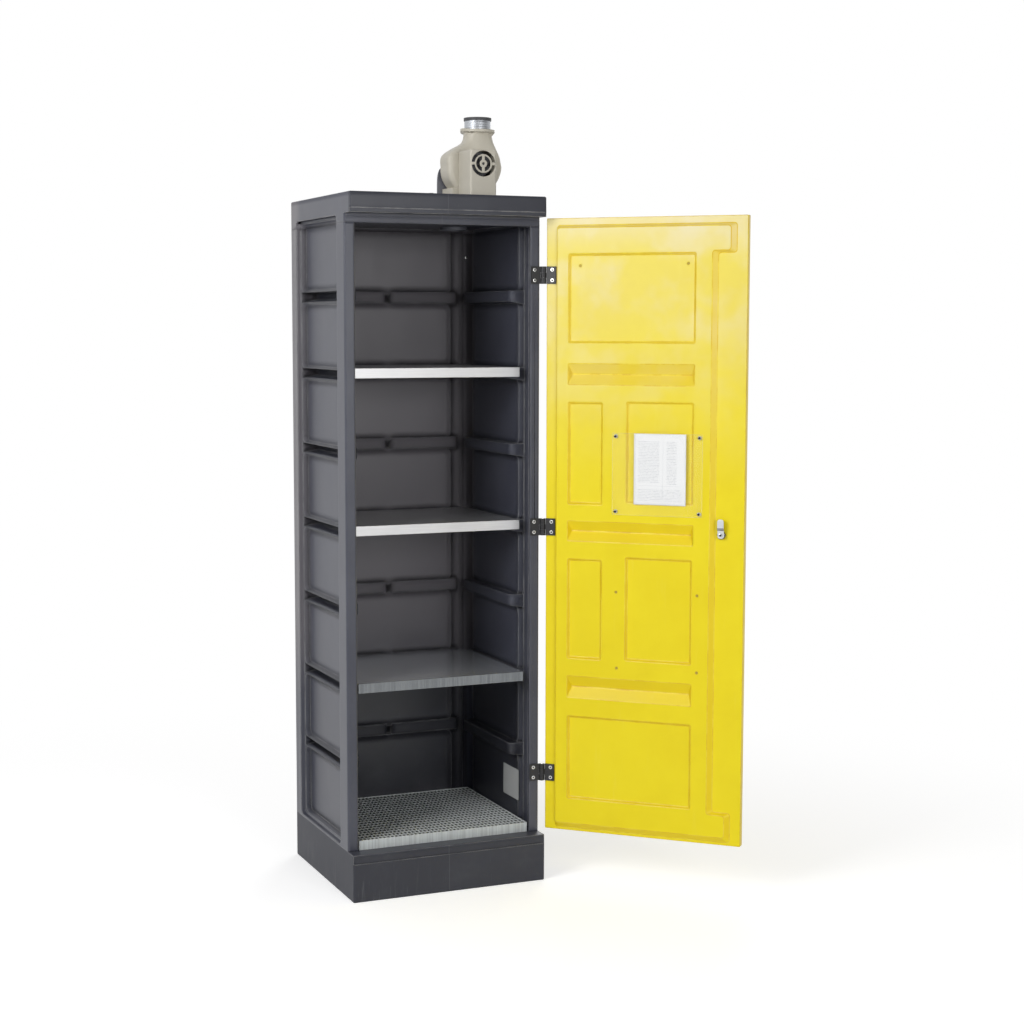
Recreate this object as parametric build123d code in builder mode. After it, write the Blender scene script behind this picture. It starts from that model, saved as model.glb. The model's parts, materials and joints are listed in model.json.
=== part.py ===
from build123d import *
import os
from math import cos, radians, sin

# Chemical storage cabinet with one hinged door, three shelves, a grating over a sump and a roof fan.
# Millimetres. The origin is the middle of the plinth's underside; the front looks to -Y, +Z is up.

# Cabinet shell
width = 570.0
depth = 530.0
height = 1920.0
wall = 5.0
plinth_height = 131.0
lid_height = 55.0
front_setback = 45.0
post_width = 29.0
head_rail = 25.0
ceiling_rise = 10.0
deck_lip = 20.0
edge_radius = 5.0
foot_radius = 2.5
step_setback = 3.0
lid_step_height = 12.0
plinth_step_height = 25.0

# Relief of the side walls: a shallow frame, deeper cells in it and grooves between the cells
relief_front = 66.0
relief_back = 52.0
relief_top = 58.0
relief_sill = 4.0
frame_depth = 12.0
frame_radius = 14.0
frame_draft = 15.0
cell_depth = 25.0
cell_inset = 8.0
cell_radius = 24.0
cell_draft = 25.0
rib_count = 7
rib_lowest = 375.0
rib_top_margin = 255.0
groove_depth = 30.0
groove_mouth = 28.0
groove_floor = 20.0
groove_radius = 10.0

# Relief of the back wall
back_margin = 45.0
back_frame_depth = 10.0
back_cell_depth = 18.0
back_cell_inset = 40.0
back_groove_depth = 10.0
back_groove_end = 26.0
back_gap = 25.0
back_return = 4.0

# Hinges
hinge_lowest = 303.0
hinge_top_margin = 213.0
hinge_count = 3
hinge_height = 48.0
leaf_width = 28.0
leaf_thickness = 4.0
leaf_gap = 0.5
knuckle_radius = 8.0
knuckle_clearance = 0.5
knuckle_middle = 16.0
knuckle_play = 0.3
pin_radius = 3.0
pin_play = 0.05
hinge_screw_edge = 10.5
hinge_screw_pitch = 29.0
screw_radius = 2.0
screw_head_radius = 4.0
screw_head_height = 2.0
screw_bite = 6.0

# Door
door_open = 136.0
door_bottom_gap = 9.0
door_top_gap = 2.0
door_thickness = 36.0
door_edge_radius = 16.0
door_skin = 4.0
door_inner_skin = 6.0
door_core_edge = 20.0
plug_rise = 9.0
plug_hinge_gap = 2.5
plug_free_gap = 1.3
plug_notch = 50.4
plug_top_margin = 20.0
plug_bottom_margin = 8.0
plug_notch_top = 99.0
plug_notch_bottom = 91.0
plug_run_hinge = 1.5
plug_run_free = 14.4
plug_run_top = 7.0
plug_run_bottom = 15.0
plug_run_notch = 6.0
plug_corner = 8.0
panel_depth = 6.0
panel_run = 5.0
panel_corner = 5.0
panel_floor_corner = 2.5
channel_depth = 15.0
channel_ridge = 2.0
channel_end_run = 9.0
channel_corner = 3.0
channel_floor_corner = 0.6
# Panels and channels: left, right, low and high edges as shares of the door's width and height
panel_shares = [
    (0.118, 0.754, 0.801, 0.943),
    (0.118, 0.295, 0.541, 0.706),
    (0.415, 0.750, 0.546, 0.708),
    (0.118, 0.294, 0.288, 0.452),
    (0.415, 0.748, 0.290, 0.458),
    (0.121, 0.752, 0.055, 0.193),
]
channel_shares = [
    (0.117, 0.752, 0.734, 0.768),
    (0.117, 0.752, 0.481, 0.514),
    (0.119, 0.752, 0.223, 0.259),
]
# Threaded inserts in the door's inner face, as shares of its width and height
insert_face_shares = [(0.369, 0.401), (0.776, 0.402), (0.374, 0.277), (0.778, 0.278)]
insert_panel_shares = [(0.174, 0.924), (0.713, 0.926)]
insert_radius = 3.5
insert_depth = 4.0

# Document holder on the door
holder_width = 256.0
holder_height = 226.0
holder_thickness = 3.0
holder_hinge_margin = 199.0
holder_lift = 159.0
holder_screw_pitch_u = 238.0
holder_screw_pitch_z = 208.0
holder_corner = 3.0
spacer_radius = 5.5
spacer_height = 4.0
holder_screw_radius = 2.0
holder_head_radius = 4.0
holder_head_height = 2.4
holder_bite = 8.0
sheet_width = 148.0
sheet_height = 196.0
sheet_thickness = 0.4
sheet_shift = 7.5

# Cam lock
lock_free_margin = 62.4
lock_drop = 3.0
lock_radius = 9.5
lock_face_radius = 13.0
lock_face_height = 3.0
lock_stub = 10.0
lock_nut_radius = 12.5
lock_nut_height = 7.0
lock_core_radius = 6.0
lock_play = 0.05
key_slot_width = 2.0
key_slot_height = 7.0
key_slot_depth = 6.0
cam_width = 18.0
cam_length = 44.0
cam_thickness = 3.0
cam_offset = 4.0
cam_jog_start = 13.5
cam_jog_length = 5.0
cam_seat_gap = 0.3
cam_corner = 7.0
cam_screw_radius = 2.5
cam_head_radius = 5.0
cam_head_height = 3.5
cam_screw_bite = 10.0

# Shelves and grating
shelf_side_gap = 9.5
shelf_front_setback = 49.0
shelf_back_gap = 4.0
shelf_thickness = 1.5
shelf_flange = 27.0
shelf_return = 12.0
lower_shelf_out = 29.0
shelf_ribs = {"shelf_upper": 5, "shelf_middle": 3, "shelf_lower": 1}
grating_side_gap = 4.0
grating_front = 5.0
grating_back_gap = 6.0
grating_height = 27.0
grating_rim = 3.0
grating_bars = 42
grating_bar = 2.0
grating_bar_height = 20.0
grating_ties = 3
grating_tie = 5.0

# Fan on the roof
fan_side_margin = 128.0
fan_axis = 96.0
scroll_front = -30.0
scroll_depth = 75.0
scroll_wall = 3.0
scroll_round = 14.0
scroll_start = 60.0
scroll_end = 97.0
tongue_angle = 125.0
spiral_steps = 12
neck_right = 76.0
neck_left = -8.0
neck_top = 96.0
neck_bulge = 0.35
foot_left = 59.0
foot_right = 62.0
foot_height = 34.0
inlet_radius = 38.0
flange_radius = 49.0
flange_height = 8.0
outlet_x = 34.0
spigot_radius = 37.5
spigot_wall = 1.5
spigot_height = 25.0
seal_radius = 39.3
seal_height = 12.0
cover_front = -120.0
cover_face = 72.0
cover_bevel = 3.0
cover_height = 134.0
cover_wall = 3.0
cover_top_radius = 2.0
grille_outer = 35.5
grille_outer_in = 26.0
grille_inner = 21.5
grille_inner_in = 11.0
grille_bridge = 8.0
grille_hub_screw = 4.0
motor_radius = 34.0
motor_length = 58.0
motor_spigot = 18.0
motor_spigot_length = 6.0
shaft_radius = 4.0
shaft_play = 0.05
shaft_back = 48.0
impeller_radius = 53.0
impeller_eye = 40.0
impeller_width = 48.0
impeller_gap = 8.0
impeller_plate = 2.0
impeller_hub = 12.0
impeller_hub_length = 26.0
blade_count = 18
blade_thickness = 1.6
blade_lean = 35.0
elbow_radius = 40.0
elbow_wall = 3.0
elbow_lead = 6.0
elbow_bend = 58.0
elbow_drop = 8.0
collar_radius = 54.0
collar_height = 6.0
bracket_half = 74.5
bracket_leg = 29.0
bracket_plate = 4.0
bracket_shoulder = 40.0
bracket_waist = 63.0
bracket_crown = 70.0
bracket_foot = 26.0
bracket_screw_radius = 2.5
bracket_head_radius = 5.0
bracket_head_height = 3.0
bracket_bite = 12.0
gland_side_gap = 92.0
gland_y = 50.0
gland_hex = 12.0
gland_hex_height = 7.0
gland_thread = 8.0
gland_neck = 6.0
gland_tail = 14.0
gland_dome = 11.0
gland_dome_height = 16.0
gland_dome_bevel = 4.0
gland_bore = 4.0

# Wall fixing screws at the top of the back wall
anchor_side_margin = 28.0
anchor_drop = 150.0
anchor_radius = 2.5
anchor_head_radius = 4.0
anchor_head_height = 2.5
anchor_bite = 4.0

overrun = 2.0

# Planes and levels that follow from the sizes
half_width = width / 2
back_plane = depth / 2
front_edge = -depth / 2
front_plane = front_edge + front_setback
lid_bottom = height - lid_height
opening_half = half_width - post_width
opening_top = lid_bottom - head_rail
ceiling = opening_top + ceiling_rise
inner_half = half_width - cell_depth - wall
inner_back = back_plane - back_cell_depth - wall
back_joint = inner_back - back_groove_depth - back_return
rib_pitch = (height - rib_top_margin - rib_lowest) / (rib_count - 1)
rib_tops = [rib_lowest + rib_pitch * step for step in range(rib_count)]
groove_tops = [top - wall for top in rib_tops]
axis_x = half_width + knuckle_radius + knuckle_clearance
axis_y = front_plane - leaf_thickness - leaf_gap / 2
door_edge = knuckle_radius + knuckle_clearance
door_heading = radians(180 + door_open)
door_along = Vector(cos(door_heading), sin(door_heading), 0)
door_out = Vector(-sin(door_heading), cos(door_heading), 0)
door_width = width
door_bottom = plinth_height + door_bottom_gap
door_top = lid_bottom - door_top_gap
door_height = door_top - door_bottom
door_inner = leaf_thickness + leaf_gap / 2
door_outer = door_inner + door_thickness
plug_face = door_inner - plug_rise
lock_u = door_edge + door_width - lock_free_margin
hinge_pitch = (height - hinge_top_margin - hinge_lowest) / (hinge_count - 1)
hinge_levels = [hinge_lowest + hinge_pitch * step for step in range(hinge_count)]
lock_level = sum(hinge_levels) / hinge_count - lock_drop
holder_level = lock_level + holder_lift
fan_x = half_width - fan_side_margin
fan_z = height + fan_axis
scroll_back = scroll_front + scroll_depth
gland_x = fan_x - gland_side_gap
elbow_y = scroll_back + elbow_lead + elbow_bend
bracket_feet = [-bracket_half + bracket_leg / 2, bracket_half - bracket_leg / 2]


def span_box(x, y, z, mode=Mode.ADD):
    """A block between two bounds on each axis."""
    with Locations((sum(x) / 2, sum(y) / 2, sum(z) / 2)):
        Box(x[1] - x[0], y[1] - y[0], z[1] - z[0], mode=mode)


def round_bars(face, spots, radius, length, mode=Mode.ADD):
    """Round bars that start on a plane at the given spots."""
    with BuildSketch(face) as ends:
        with Locations(*spots):
            Circle(radius)
    extrude(ends.sketch, amount=length, mode=mode)


def wall_face(origin, inward):
    """Plane on a wall that looks into the cabinet; its own y axis is up."""
    inward = Vector(*inward)
    return Plane(origin, x_dir=Vector(0, 0, 1).cross(inward), z_dir=inward)


def front_face(y):
    """Plane across the cabinet; its own axes are X and Z and it looks to the front."""
    return Plane((0, y, 0), x_dir=(1, 0, 0), z_dir=(0, -1, 0))


def door_face(offset):
    """Plane along the door, so far out from the hinge axis, that looks into the cabinet when closed."""
    origin = Vector(axis_x, axis_y, 0) + door_out * offset
    return Plane(origin, x_dir=door_along, z_dir=door_out * -1)


def groove(face, across, top, mouth, floor, grow):
    """One shelf groove under a wall face: level on top, sloped below, with round ends at its floor."""
    start = Plane(
        face.from_local_coords((across[1] + grow, 0, 0)), x_dir=face.z_dir, z_dir=face.x_dir * -1
    )
    with BuildPart() as slot:
        with BuildSketch(start):
            with BuildLine():
                Polyline(
                    (mouth, top + grow),
                    (floor + grow, top + grow),
                    (floor + grow, top - groove_floor - grow),
                    (mouth, top - groove_mouth - grow),
                    close=True,
                )
            make_face()
        extrude(amount=across[1] - across[0] + 2 * grow)
        ends = slot.edges().filter_by(Axis.Z).sort_by(Axis(face.origin, face.z_dir))[-2:]
        fillet(ends, groove_radius + grow)
    return slot.part


def pocket(face, across, levels, depths, radius, draft):
    """A drafted pocket with round corners, between two depths under a wall face."""
    with BuildSketch(face.offset(depths[0])) as rim:
        with Locations((sum(across) / 2, sum(levels) / 2)):
            RectangleRounded(across[1] - across[0], levels[1] - levels[0], radius)
    extrude(rim.sketch, amount=depths[1] - depths[0], taper=draft)


def relief(grow):
    """Everything pressed into the side and back walls, made larger all round by the wall for the inside."""
    low = plinth_height + relief_sill
    high = height - relief_top
    bounds = [low + cell_inset] + groove_tops + [high - cell_inset]
    cells = [(bounds[0], groove_tops[0] - groove_mouth)]
    cells += [(a, b - groove_mouth) for a, b in zip(groove_tops, groove_tops[1:])]
    cells += [(groove_tops[-1], bounds[-1])]
    near = front_plane + relief_front
    far = back_plane - relief_back
    walls = []
    for side in (1, -1):
        across = sorted((-side * near, -side * far))
        walls.append((wall_face((side * half_width, 0, 0), (-side, 0, 0)), across))
    back = wall_face((0, back_plane, 0), (0, -1, 0))
    reach = half_width - back_margin
    slots = []
    for face, across in walls:
        ends = (across[0] + cell_inset, across[1] - cell_inset)
        for top in groove_tops:
            slots.append(groove(face, ends, top, frame_depth, cell_depth + groove_depth, grow))
    for top in groove_tops:
        floor = back_cell_depth + back_groove_depth
        halves = [(back_gap / 2, reach - back_groove_end), (back_groove_end - reach, -back_gap / 2)]
        for ends in halves:
            slots.append(groove(back, ends, top, back_frame_depth, floor, grow))
    levels = (low - grow, high + grow)
    with BuildPart() as tool:
        for face, across in walls:
            frame = (across[0] - grow, across[1] + grow)
            depths = (-overrun, frame_depth + grow)
            pocket(face, frame, levels, depths, frame_radius, frame_draft)
            inset = (across[0] + cell_inset - grow, across[1] - cell_inset + grow)
            for a, b in cells:
                depths = (frame_depth + grow - overrun, cell_depth + grow)
                pocket(face, inset, (a - grow, b + grow), depths, cell_radius + grow, cell_draft)
        frame = (-reach - grow, reach + grow)
        pocket(back, frame, levels, (-overrun, back_frame_depth + grow), cell_radius, frame_draft)
        inset = (-reach + back_cell_inset - grow, reach - back_cell_inset + grow)
        for a, b in cells:
            depths = (back_frame_depth + grow - overrun, back_cell_depth + grow)
            pocket(back, inset, (a - grow, b + grow), depths, cell_radius + grow, cell_draft)
        add(slots)
    return tool.part


def share_window(share):
    """The u and z bounds of a panel on the door from its shares."""
    left, right, low, high = share
    across = (door_edge + left * door_width, door_edge + right * door_width)
    return across, (door_bottom + low * door_height, door_bottom + high * door_height)


def share_spots(shares):
    """Spots on the door's face from pairs of shares."""
    return [(door_edge + u * door_width, door_bottom + z * door_height) for u, z in shares]


def sunk_panel(across, levels, runs, depth_in, corners):
    """A pocket in the door's raised face; its floor is smaller by a run at the ends and one at the sides."""
    wide = across[1] - across[0]
    tall = levels[1] - levels[0]
    floor = (wide - 2 * runs[0], tall - 2 * runs[1])
    sections = []
    for offset, size, corner in (
        (plug_face, (wide, tall), corners[0]),
        (plug_face + depth_in, floor, corners[1]),
    ):
        with BuildSketch(door_face(offset)) as section:
            with Locations((sum(across) / 2, sum(levels) / 2)):
                RectangleRounded(*size, corner)
        sections.append(section.sketch)
    loft(sections, ruled=True, mode=Mode.SUBTRACT)


def plug_outline(run_share):
    """Outline of the door's raised part; a run share of one gives its face, of nought its foot."""
    left = axis_x - opening_half + plug_hinge_gap + run_share * plug_run_hinge
    right = axis_x + opening_half - plug_free_gap - run_share * plug_run_free
    notch = right - plug_notch
    low = door_bottom + plug_bottom_margin + run_share * plug_run_bottom
    high = door_top - plug_top_margin - run_share * plug_run_top
    notch_low = door_bottom + plug_notch_bottom - run_share * plug_run_notch
    notch_high = door_top - plug_notch_top + run_share * plug_run_notch
    return [
        (left, low),
        (right, low),
        (right, notch_low),
        (notch, notch_low),
        (notch, notch_high),
        (right, notch_high),
        (right, high),
        (left, high),
    ]


def hinge_spots(u, level):
    """The two screw spots of a hinge leaf."""
    return [(u, level - hinge_screw_pitch / 2), (u, level + hinge_screw_pitch / 2)]


def leaf(face, sign, level, knuckles, bore):
    """A hinge leaf on a plane: plate, webs, knuckles about the axis and countersunk screw holes."""
    low = level - hinge_height / 2
    high = level + hinge_height / 2
    near = sign * door_edge
    far = sign * (door_edge + leaf_width)
    with BuildPart() as plate:
        with BuildSketch(face):
            with Locations(((near + far) / 2, level)):
                Rectangle(leaf_width, high - low)
            for a, b in knuckles:
                with Locations((near / 2, (a + b) / 2)):
                    Rectangle(door_edge, b - a)
        extrude(amount=leaf_thickness)
        for a, b in knuckles:
            with Locations((axis_x, axis_y, (a + b) / 2)):
                Cylinder(knuckle_radius, b - a)
        with Locations((axis_x, axis_y, level)):
            Cylinder(bore, hinge_height + overrun, mode=Mode.SUBTRACT)
        spots = hinge_spots(far - sign * hinge_screw_edge, level)
        round_bars(face, spots, screw_radius, leaf_thickness, Mode.SUBTRACT)
        head_face = face.offset(leaf_thickness - screw_head_height)
        round_bars(head_face, spots, screw_head_radius, screw_head_height, Mode.SUBTRACT)
    return plate


def countersunk(face, spots):
    """Screws whose heads end level with a hinge leaf that lies on the plane."""
    with BuildPart() as screws:
        round_bars(face.offset(-screw_bite), spots, screw_radius, screw_bite + leaf_thickness)
        head_face = face.offset(leaf_thickness - screw_head_height)
        round_bars(head_face, spots, screw_head_radius, screw_head_height)
    return screws


def scroll_edge(inset):
    """The scroll's outline: a growing spiral from the tongue round to the right, and the outlet neck."""
    turn = 360.0 - tongue_angle
    points = []
    for step in range(spiral_steps + 1):
        share = step / spiral_steps
        angle = radians(tongue_angle + turn * share)
        radius = scroll_start + (scroll_end - scroll_start) * share - inset
        points.append((fan_x + radius * cos(angle), fan_z + radius * sin(angle)))
    left = fan_x + neck_left + inset
    right = fan_x + neck_right - inset
    top = fan_z + neck_top
    bend = (
        left + (points[0][0] - left) * neck_bulge,
        points[0][1] + (top - points[0][1]) * neck_bulge,
    )
    Spline(*points)
    Polyline(points[-1], (right, top), (left, top))
    ThreePointArc((left, top), bend, points[0])


def volute_rims(block):
    """The round edges of a scroll block, front and back, below the top of its neck."""
    ends = block.faces().sort_by(Axis.Y)
    rims = ends[0].edges() + ends[-1].edges()
    return rims.filter_by_position(Axis.Z, 0, fan_z + neck_top, inclusive=(True, False))


def shell_piece(x, y, z):
    """The part of the shell between two bounds on each axis."""
    with BuildPart() as piece:
        add(cabinet_body.part)
        span_box(x, y, z, Mode.INTERSECT)
    return piece


# Cabinet shell
frame_face = front_face(front_plane)
hinge_frame_x = half_width - leaf_width + hinge_screw_edge
frame_spots = [spot for level in hinge_levels for spot in hinge_spots(hinge_frame_x, level)]
anchor_face = wall_face((0, back_plane, 0), (0, -1, 0))
anchor_x = half_width - anchor_side_margin
anchor_spots = [(side * anchor_x, height - anchor_drop) for side in (-1, 1)]

inner_relief = relief(wall)
outer_relief = relief(0)

with BuildPart() as cavity:
    shell_x = (wall - half_width, half_width - wall)
    span_box(shell_x, (front_plane + wall, back_plane - wall), (plinth_height, ceiling))
    add(inner_relief, mode=Mode.SUBTRACT)
    opening_y = (front_plane - overrun, front_plane + wall + overrun)
    span_box((-opening_half, opening_half), opening_y, (plinth_height, opening_top))
    shell_y = (front_edge + wall, back_plane - wall)
    span_box(shell_x, shell_y, (wall, plinth_height - wall))
    mouth_half = inner_half - deck_lip
    mouth_y = (front_plane + deck_lip, inner_back - deck_lip)
    span_box((-mouth_half, mouth_half), mouth_y, (plinth_height - wall - overrun, plinth_height + overrun))
    span_box(shell_x, shell_y, (ceiling + wall, height - wall))
    with Locations((fan_x, elbow_y, (ceiling + height) / 2)):
        Cylinder(elbow_radius + wall, height - ceiling - 2 * wall, mode=Mode.SUBTRACT)

with BuildPart() as cabinet_body:
    with BuildSketch(Plane.YZ.offset(-half_width)):
        with BuildLine():
            Polyline(
                (back_plane, 0),
                (front_edge, 0),
                (front_edge, plinth_height),
                (front_plane, plinth_height),
                (front_plane, lid_bottom),
                (front_edge, lid_bottom),
                (front_edge, height),
                (back_plane, height),
                close=True,
            )
        make_face()
    extrude(amount=width)
    fillet(cabinet_body.edges().filter_by(Axis.Z), edge_radius)
    fillet(cabinet_body.faces().sort_by(Axis.Z)[-1].edges(), edge_radius)
    fillet(cabinet_body.faces().sort_by(Axis.Z)[0].edges(), foot_radius)
    step_x = (-half_width - overrun, half_width + overrun)
    step_y = (front_edge - overrun, front_edge + step_setback)
    span_box(step_x, step_y, (lid_bottom - overrun, lid_bottom + lid_step_height), Mode.SUBTRACT)
    step_z = (plinth_height - plinth_step_height, plinth_height + overrun)
    span_box(step_x, step_y, step_z, Mode.SUBTRACT)
    add(outer_relief, mode=Mode.SUBTRACT)
    add(cavity.part, mode=Mode.SUBTRACT)
    with Locations((fan_x, elbow_y, height)):
        Cylinder(elbow_radius, 2 * height - 2 * ceiling + overrun, mode=Mode.SUBTRACT)
    wall_hole = wall + 2 * overrun
    screw_start = frame_face.offset(-wall - overrun)
    round_bars(screw_start, frame_spots, screw_radius, wall_hole, Mode.SUBTRACT)
    round_bars(anchor_face.offset(-overrun), anchor_spots, anchor_radius, wall_hole, Mode.SUBTRACT)
    roof = Plane.XY.offset(height - wall - overrun)
    foot_y = scroll_back + bracket_plate + bracket_foot / 2
    foot_spots = [(fan_x + x, foot_y) for x in bracket_feet]
    round_bars(roof, foot_spots, bracket_screw_radius, wall_hole, Mode.SUBTRACT)
    round_bars(roof, [(gland_x, gland_y)], gland_thread, wall_hole, Mode.SUBTRACT)

# The shell is parted at the plinth's top, under the head rail and just before the back wall's ribs
all_x = (-width, width)
all_y = (-depth, depth)
wall_z = (plinth_height, opening_top)
side_y = (-depth, back_joint)
pieces = {
    "cabinet_plinth": shell_piece(all_x, all_y, (-height, plinth_height)),
    "cabinet_lid": shell_piece(all_x, all_y, (opening_top, 2 * height)),
    "cabinet_back": shell_piece(all_x, (back_joint, depth), wall_z),
    "cabinet_side_left": shell_piece((-width, 0), side_y, wall_z),
    "cabinet_side_right": shell_piece((0, width), side_y, wall_z),
}

with BuildPart() as wall_anchor_screws:
    round_bars(anchor_face.offset(-anchor_bite), anchor_spots, anchor_radius, anchor_bite + wall)
    round_bars(anchor_face.offset(wall), anchor_spots, anchor_head_radius, anchor_head_height)

# Hinges
door_leaf_u = door_edge + leaf_width - hinge_screw_edge
door_spots = [spot for level in hinge_levels for spot in hinge_spots(door_leaf_u, level)]
for number, level in enumerate(hinge_levels, 1):
    outer = hinge_height / 2
    inner = knuckle_middle / 2
    frame_knuckles = [(level - outer, level - inner), (level + inner, level + outer)]
    door_knuckle = [(level - inner + knuckle_play, level + inner - knuckle_play)]
    axis_front = Plane((axis_x, front_plane, 0), x_dir=(1, 0, 0), z_dir=(0, -1, 0))
    pieces[f"hinge_frame_leaf_{number}"] = leaf(axis_front, -1, level, frame_knuckles, pin_radius)
    door_leaf = leaf(door_face(door_inner), 1, level, door_knuckle, pin_radius + pin_play)
    pieces[f"hinge_door_leaf_{number}"] = door_leaf
    with BuildPart() as hinge_pin:
        with Locations((axis_x, axis_y, level)):
            Cylinder(pin_radius, hinge_height)
    pieces[f"hinge_pin_{number}"] = hinge_pin
hinge_frame_screws = countersunk(frame_face, frame_spots)
hinge_door_screws = countersunk(door_face(door_inner), door_spots)

# Door
holder_u = door_edge + holder_hinge_margin + holder_width / 2
holder_spots = [
    (holder_u + u * holder_screw_pitch_u / 2, holder_level + z * holder_screw_pitch_z / 2)
    for u in (-1, 1)
    for z in (-1, 1)
]
lock_spot = [(lock_u, lock_level)]
core_start = plug_face + panel_depth + door_inner_skin
with BuildPart() as door_core:
    core_right = lock_u - lock_face_radius - door_core_edge
    core_left = door_edge + door_core_edge
    with BuildSketch(door_face(door_outer - door_skin)):
        with Locations(((core_left + core_right) / 2, (door_bottom + door_top) / 2)):
            Rectangle(core_right - core_left, door_height - 2 * door_core_edge)
    extrude(amount=door_outer - door_skin - core_start)
    with BuildSketch(door_face(plug_face + channel_depth + door_skin)):
        for share in channel_shares:
            across, levels = share_window(share)
            with Locations((sum(across) / 2, sum(levels) / 2)):
                Rectangle(across[1] - across[0], levels[1] - levels[0])
    extrude(amount=channel_depth, mode=Mode.SUBTRACT)

with BuildPart() as door:
    with BuildSketch(door_face(door_outer)):
        with Locations((door_edge + door_width / 2, (door_bottom + door_top) / 2)):
            Rectangle(door_width, door_height)
    extrude(amount=door_thickness)
    fillet(door.faces().sort_by(Axis((0, 0, 0), door_out))[-1].edges(), door_edge_radius)
    for face, run_share in ((door_face(door_inner), 0), (door_face(plug_face), 1)):
        with BuildSketch(face) as outline:
            with BuildLine():
                Polyline(*plug_outline(run_share), close=True)
            make_face()
            fillet(outline.vertices(), plug_corner)
    loft(ruled=True)
    for share in panel_shares:
        corners = (panel_corner, panel_floor_corner)
        sunk_panel(*share_window(share), (panel_run, panel_run), panel_depth, corners)
    for share in channel_shares:
        across, levels = share_window(share)
        runs = (channel_end_run, (levels[1] - levels[0] - channel_ridge) / 2)
        sunk_panel(across, levels, runs, channel_depth, (channel_corner, channel_floor_corner))
    add(door_core.part, mode=Mode.SUBTRACT)
    lock_through = door_thickness + 2 * overrun
    lock_start = door_face(door_outer + overrun)
    round_bars(lock_start, lock_spot, lock_radius, lock_through, Mode.SUBTRACT)
    screw_start = door_face(door_inner + screw_bite)
    round_bars(screw_start, door_spots, screw_radius, screw_bite + overrun, Mode.SUBTRACT)
    bite_face = door_face(plug_face + holder_bite)
    round_bars(bite_face, holder_spots, holder_screw_radius, holder_bite + overrun, Mode.SUBTRACT)
    face_inserts = share_spots(insert_face_shares)
    panel_inserts = share_spots(insert_panel_shares)
    insert_sink = insert_depth + overrun
    face_floor = door_face(plug_face + insert_depth)
    round_bars(face_floor, face_inserts, insert_radius, insert_sink, Mode.SUBTRACT)
    panel_floor = door_face(plug_face + panel_depth + insert_depth)
    round_bars(panel_floor, panel_inserts, insert_radius, insert_sink, Mode.SUBTRACT)

with BuildPart() as door_inserts:
    round_bars(face_floor, face_inserts, insert_radius, insert_depth)
    round_bars(panel_floor, panel_inserts, insert_radius, insert_depth)

# Document holder
plate_back = plug_face - spacer_height
with BuildPart() as holder_spacers:
    round_bars(door_face(plug_face), holder_spots, spacer_radius, spacer_height)
    round_bars(door_face(plug_face), holder_spots, holder_screw_radius, spacer_height, Mode.SUBTRACT)

with BuildPart() as holder_plate:
    with BuildSketch(door_face(plate_back)):
        with Locations((holder_u, holder_level)):
            RectangleRounded(holder_width, holder_height, holder_corner)
        with Locations(*holder_spots):
            Circle(holder_screw_radius, mode=Mode.SUBTRACT)
    extrude(amount=holder_thickness)

with BuildPart() as holder_screws:
    shank = holder_bite + spacer_height + holder_thickness
    round_bars(bite_face, holder_spots, holder_screw_radius, shank)
    plate_front = door_face(plate_back - holder_thickness)
    round_bars(plate_front, holder_spots, holder_head_radius, holder_head_height)

with BuildPart() as document_sheet:
    with BuildSketch(door_face(plate_back + sheet_thickness)):
        with Locations((holder_u + sheet_shift, holder_level + (holder_height - sheet_height) / 2)):
            Rectangle(sheet_width, sheet_height)
    extrude(amount=sheet_thickness)

# Cam lock
lock_end = door_inner - lock_stub
core_length = door_outer + lock_face_height - lock_end
lock_face = door_face(door_outer + lock_face_height)
with BuildPart() as lock_housing:
    round_bars(lock_face, lock_spot, lock_face_radius, lock_face_height)
    round_bars(door_face(door_outer), lock_spot, lock_radius, door_outer - lock_end)
    bore = lock_core_radius + lock_play
    round_bars(lock_face, lock_spot, bore, core_length + overrun, Mode.SUBTRACT)

with BuildPart() as lock_nut:
    with BuildSketch(door_face(door_inner)):
        with Locations((lock_u, lock_level)):
            RegularPolygon(lock_nut_radius, 6)
            Circle(lock_radius, mode=Mode.SUBTRACT)
    extrude(amount=lock_nut_height)

cam_back = lock_end - cam_seat_gap
with BuildPart() as lock_core:
    round_bars(lock_face, lock_spot, lock_core_radius, core_length + cam_seat_gap)
    with BuildSketch(lock_face):
        with Locations((lock_u, lock_level)):
            Rectangle(key_slot_width, key_slot_height)
    extrude(amount=key_slot_depth, mode=Mode.SUBTRACT)
    thread_end = door_face(cam_back + cam_screw_bite)
    round_bars(thread_end, lock_spot, cam_screw_radius, cam_screw_bite + overrun, Mode.SUBTRACT)

with BuildPart() as lock_cam:
    tip = cam_back - cam_offset
    cam_plane = Plane(
        Vector(axis_x, axis_y, lock_level) + door_along * (lock_u - cam_width / 2),
        x_dir=(0, 0, 1),
        z_dir=door_along,
    )
    out = cam_plane.to_local_coords(cam_plane.origin + door_out).Y
    jog_end = cam_jog_start + cam_jog_length
    with BuildSketch(cam_plane):
        with BuildLine():
            Polyline(
                (-cam_width / 2, cam_back * out),
                (cam_jog_start, cam_back * out),
                (jog_end, tip * out),
                (cam_length, tip * out),
                (cam_length, (tip - cam_thickness) * out),
                (jog_end - cam_thickness / 2, (tip - cam_thickness) * out),
                (cam_jog_start - cam_thickness / 2, (cam_back - cam_thickness) * out),
                (-cam_width / 2, (cam_back - cam_thickness) * out),
                close=True,
            )
        make_face()
    extrude(amount=cam_width)
    fillet(lock_cam.edges().filter_by(Axis((0, 0, 0), door_out)), cam_corner)
    cam_hole = cam_thickness + 2 * overrun
    round_bars(door_face(cam_back + overrun), lock_spot, cam_screw_radius, cam_hole, Mode.SUBTRACT)

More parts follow.
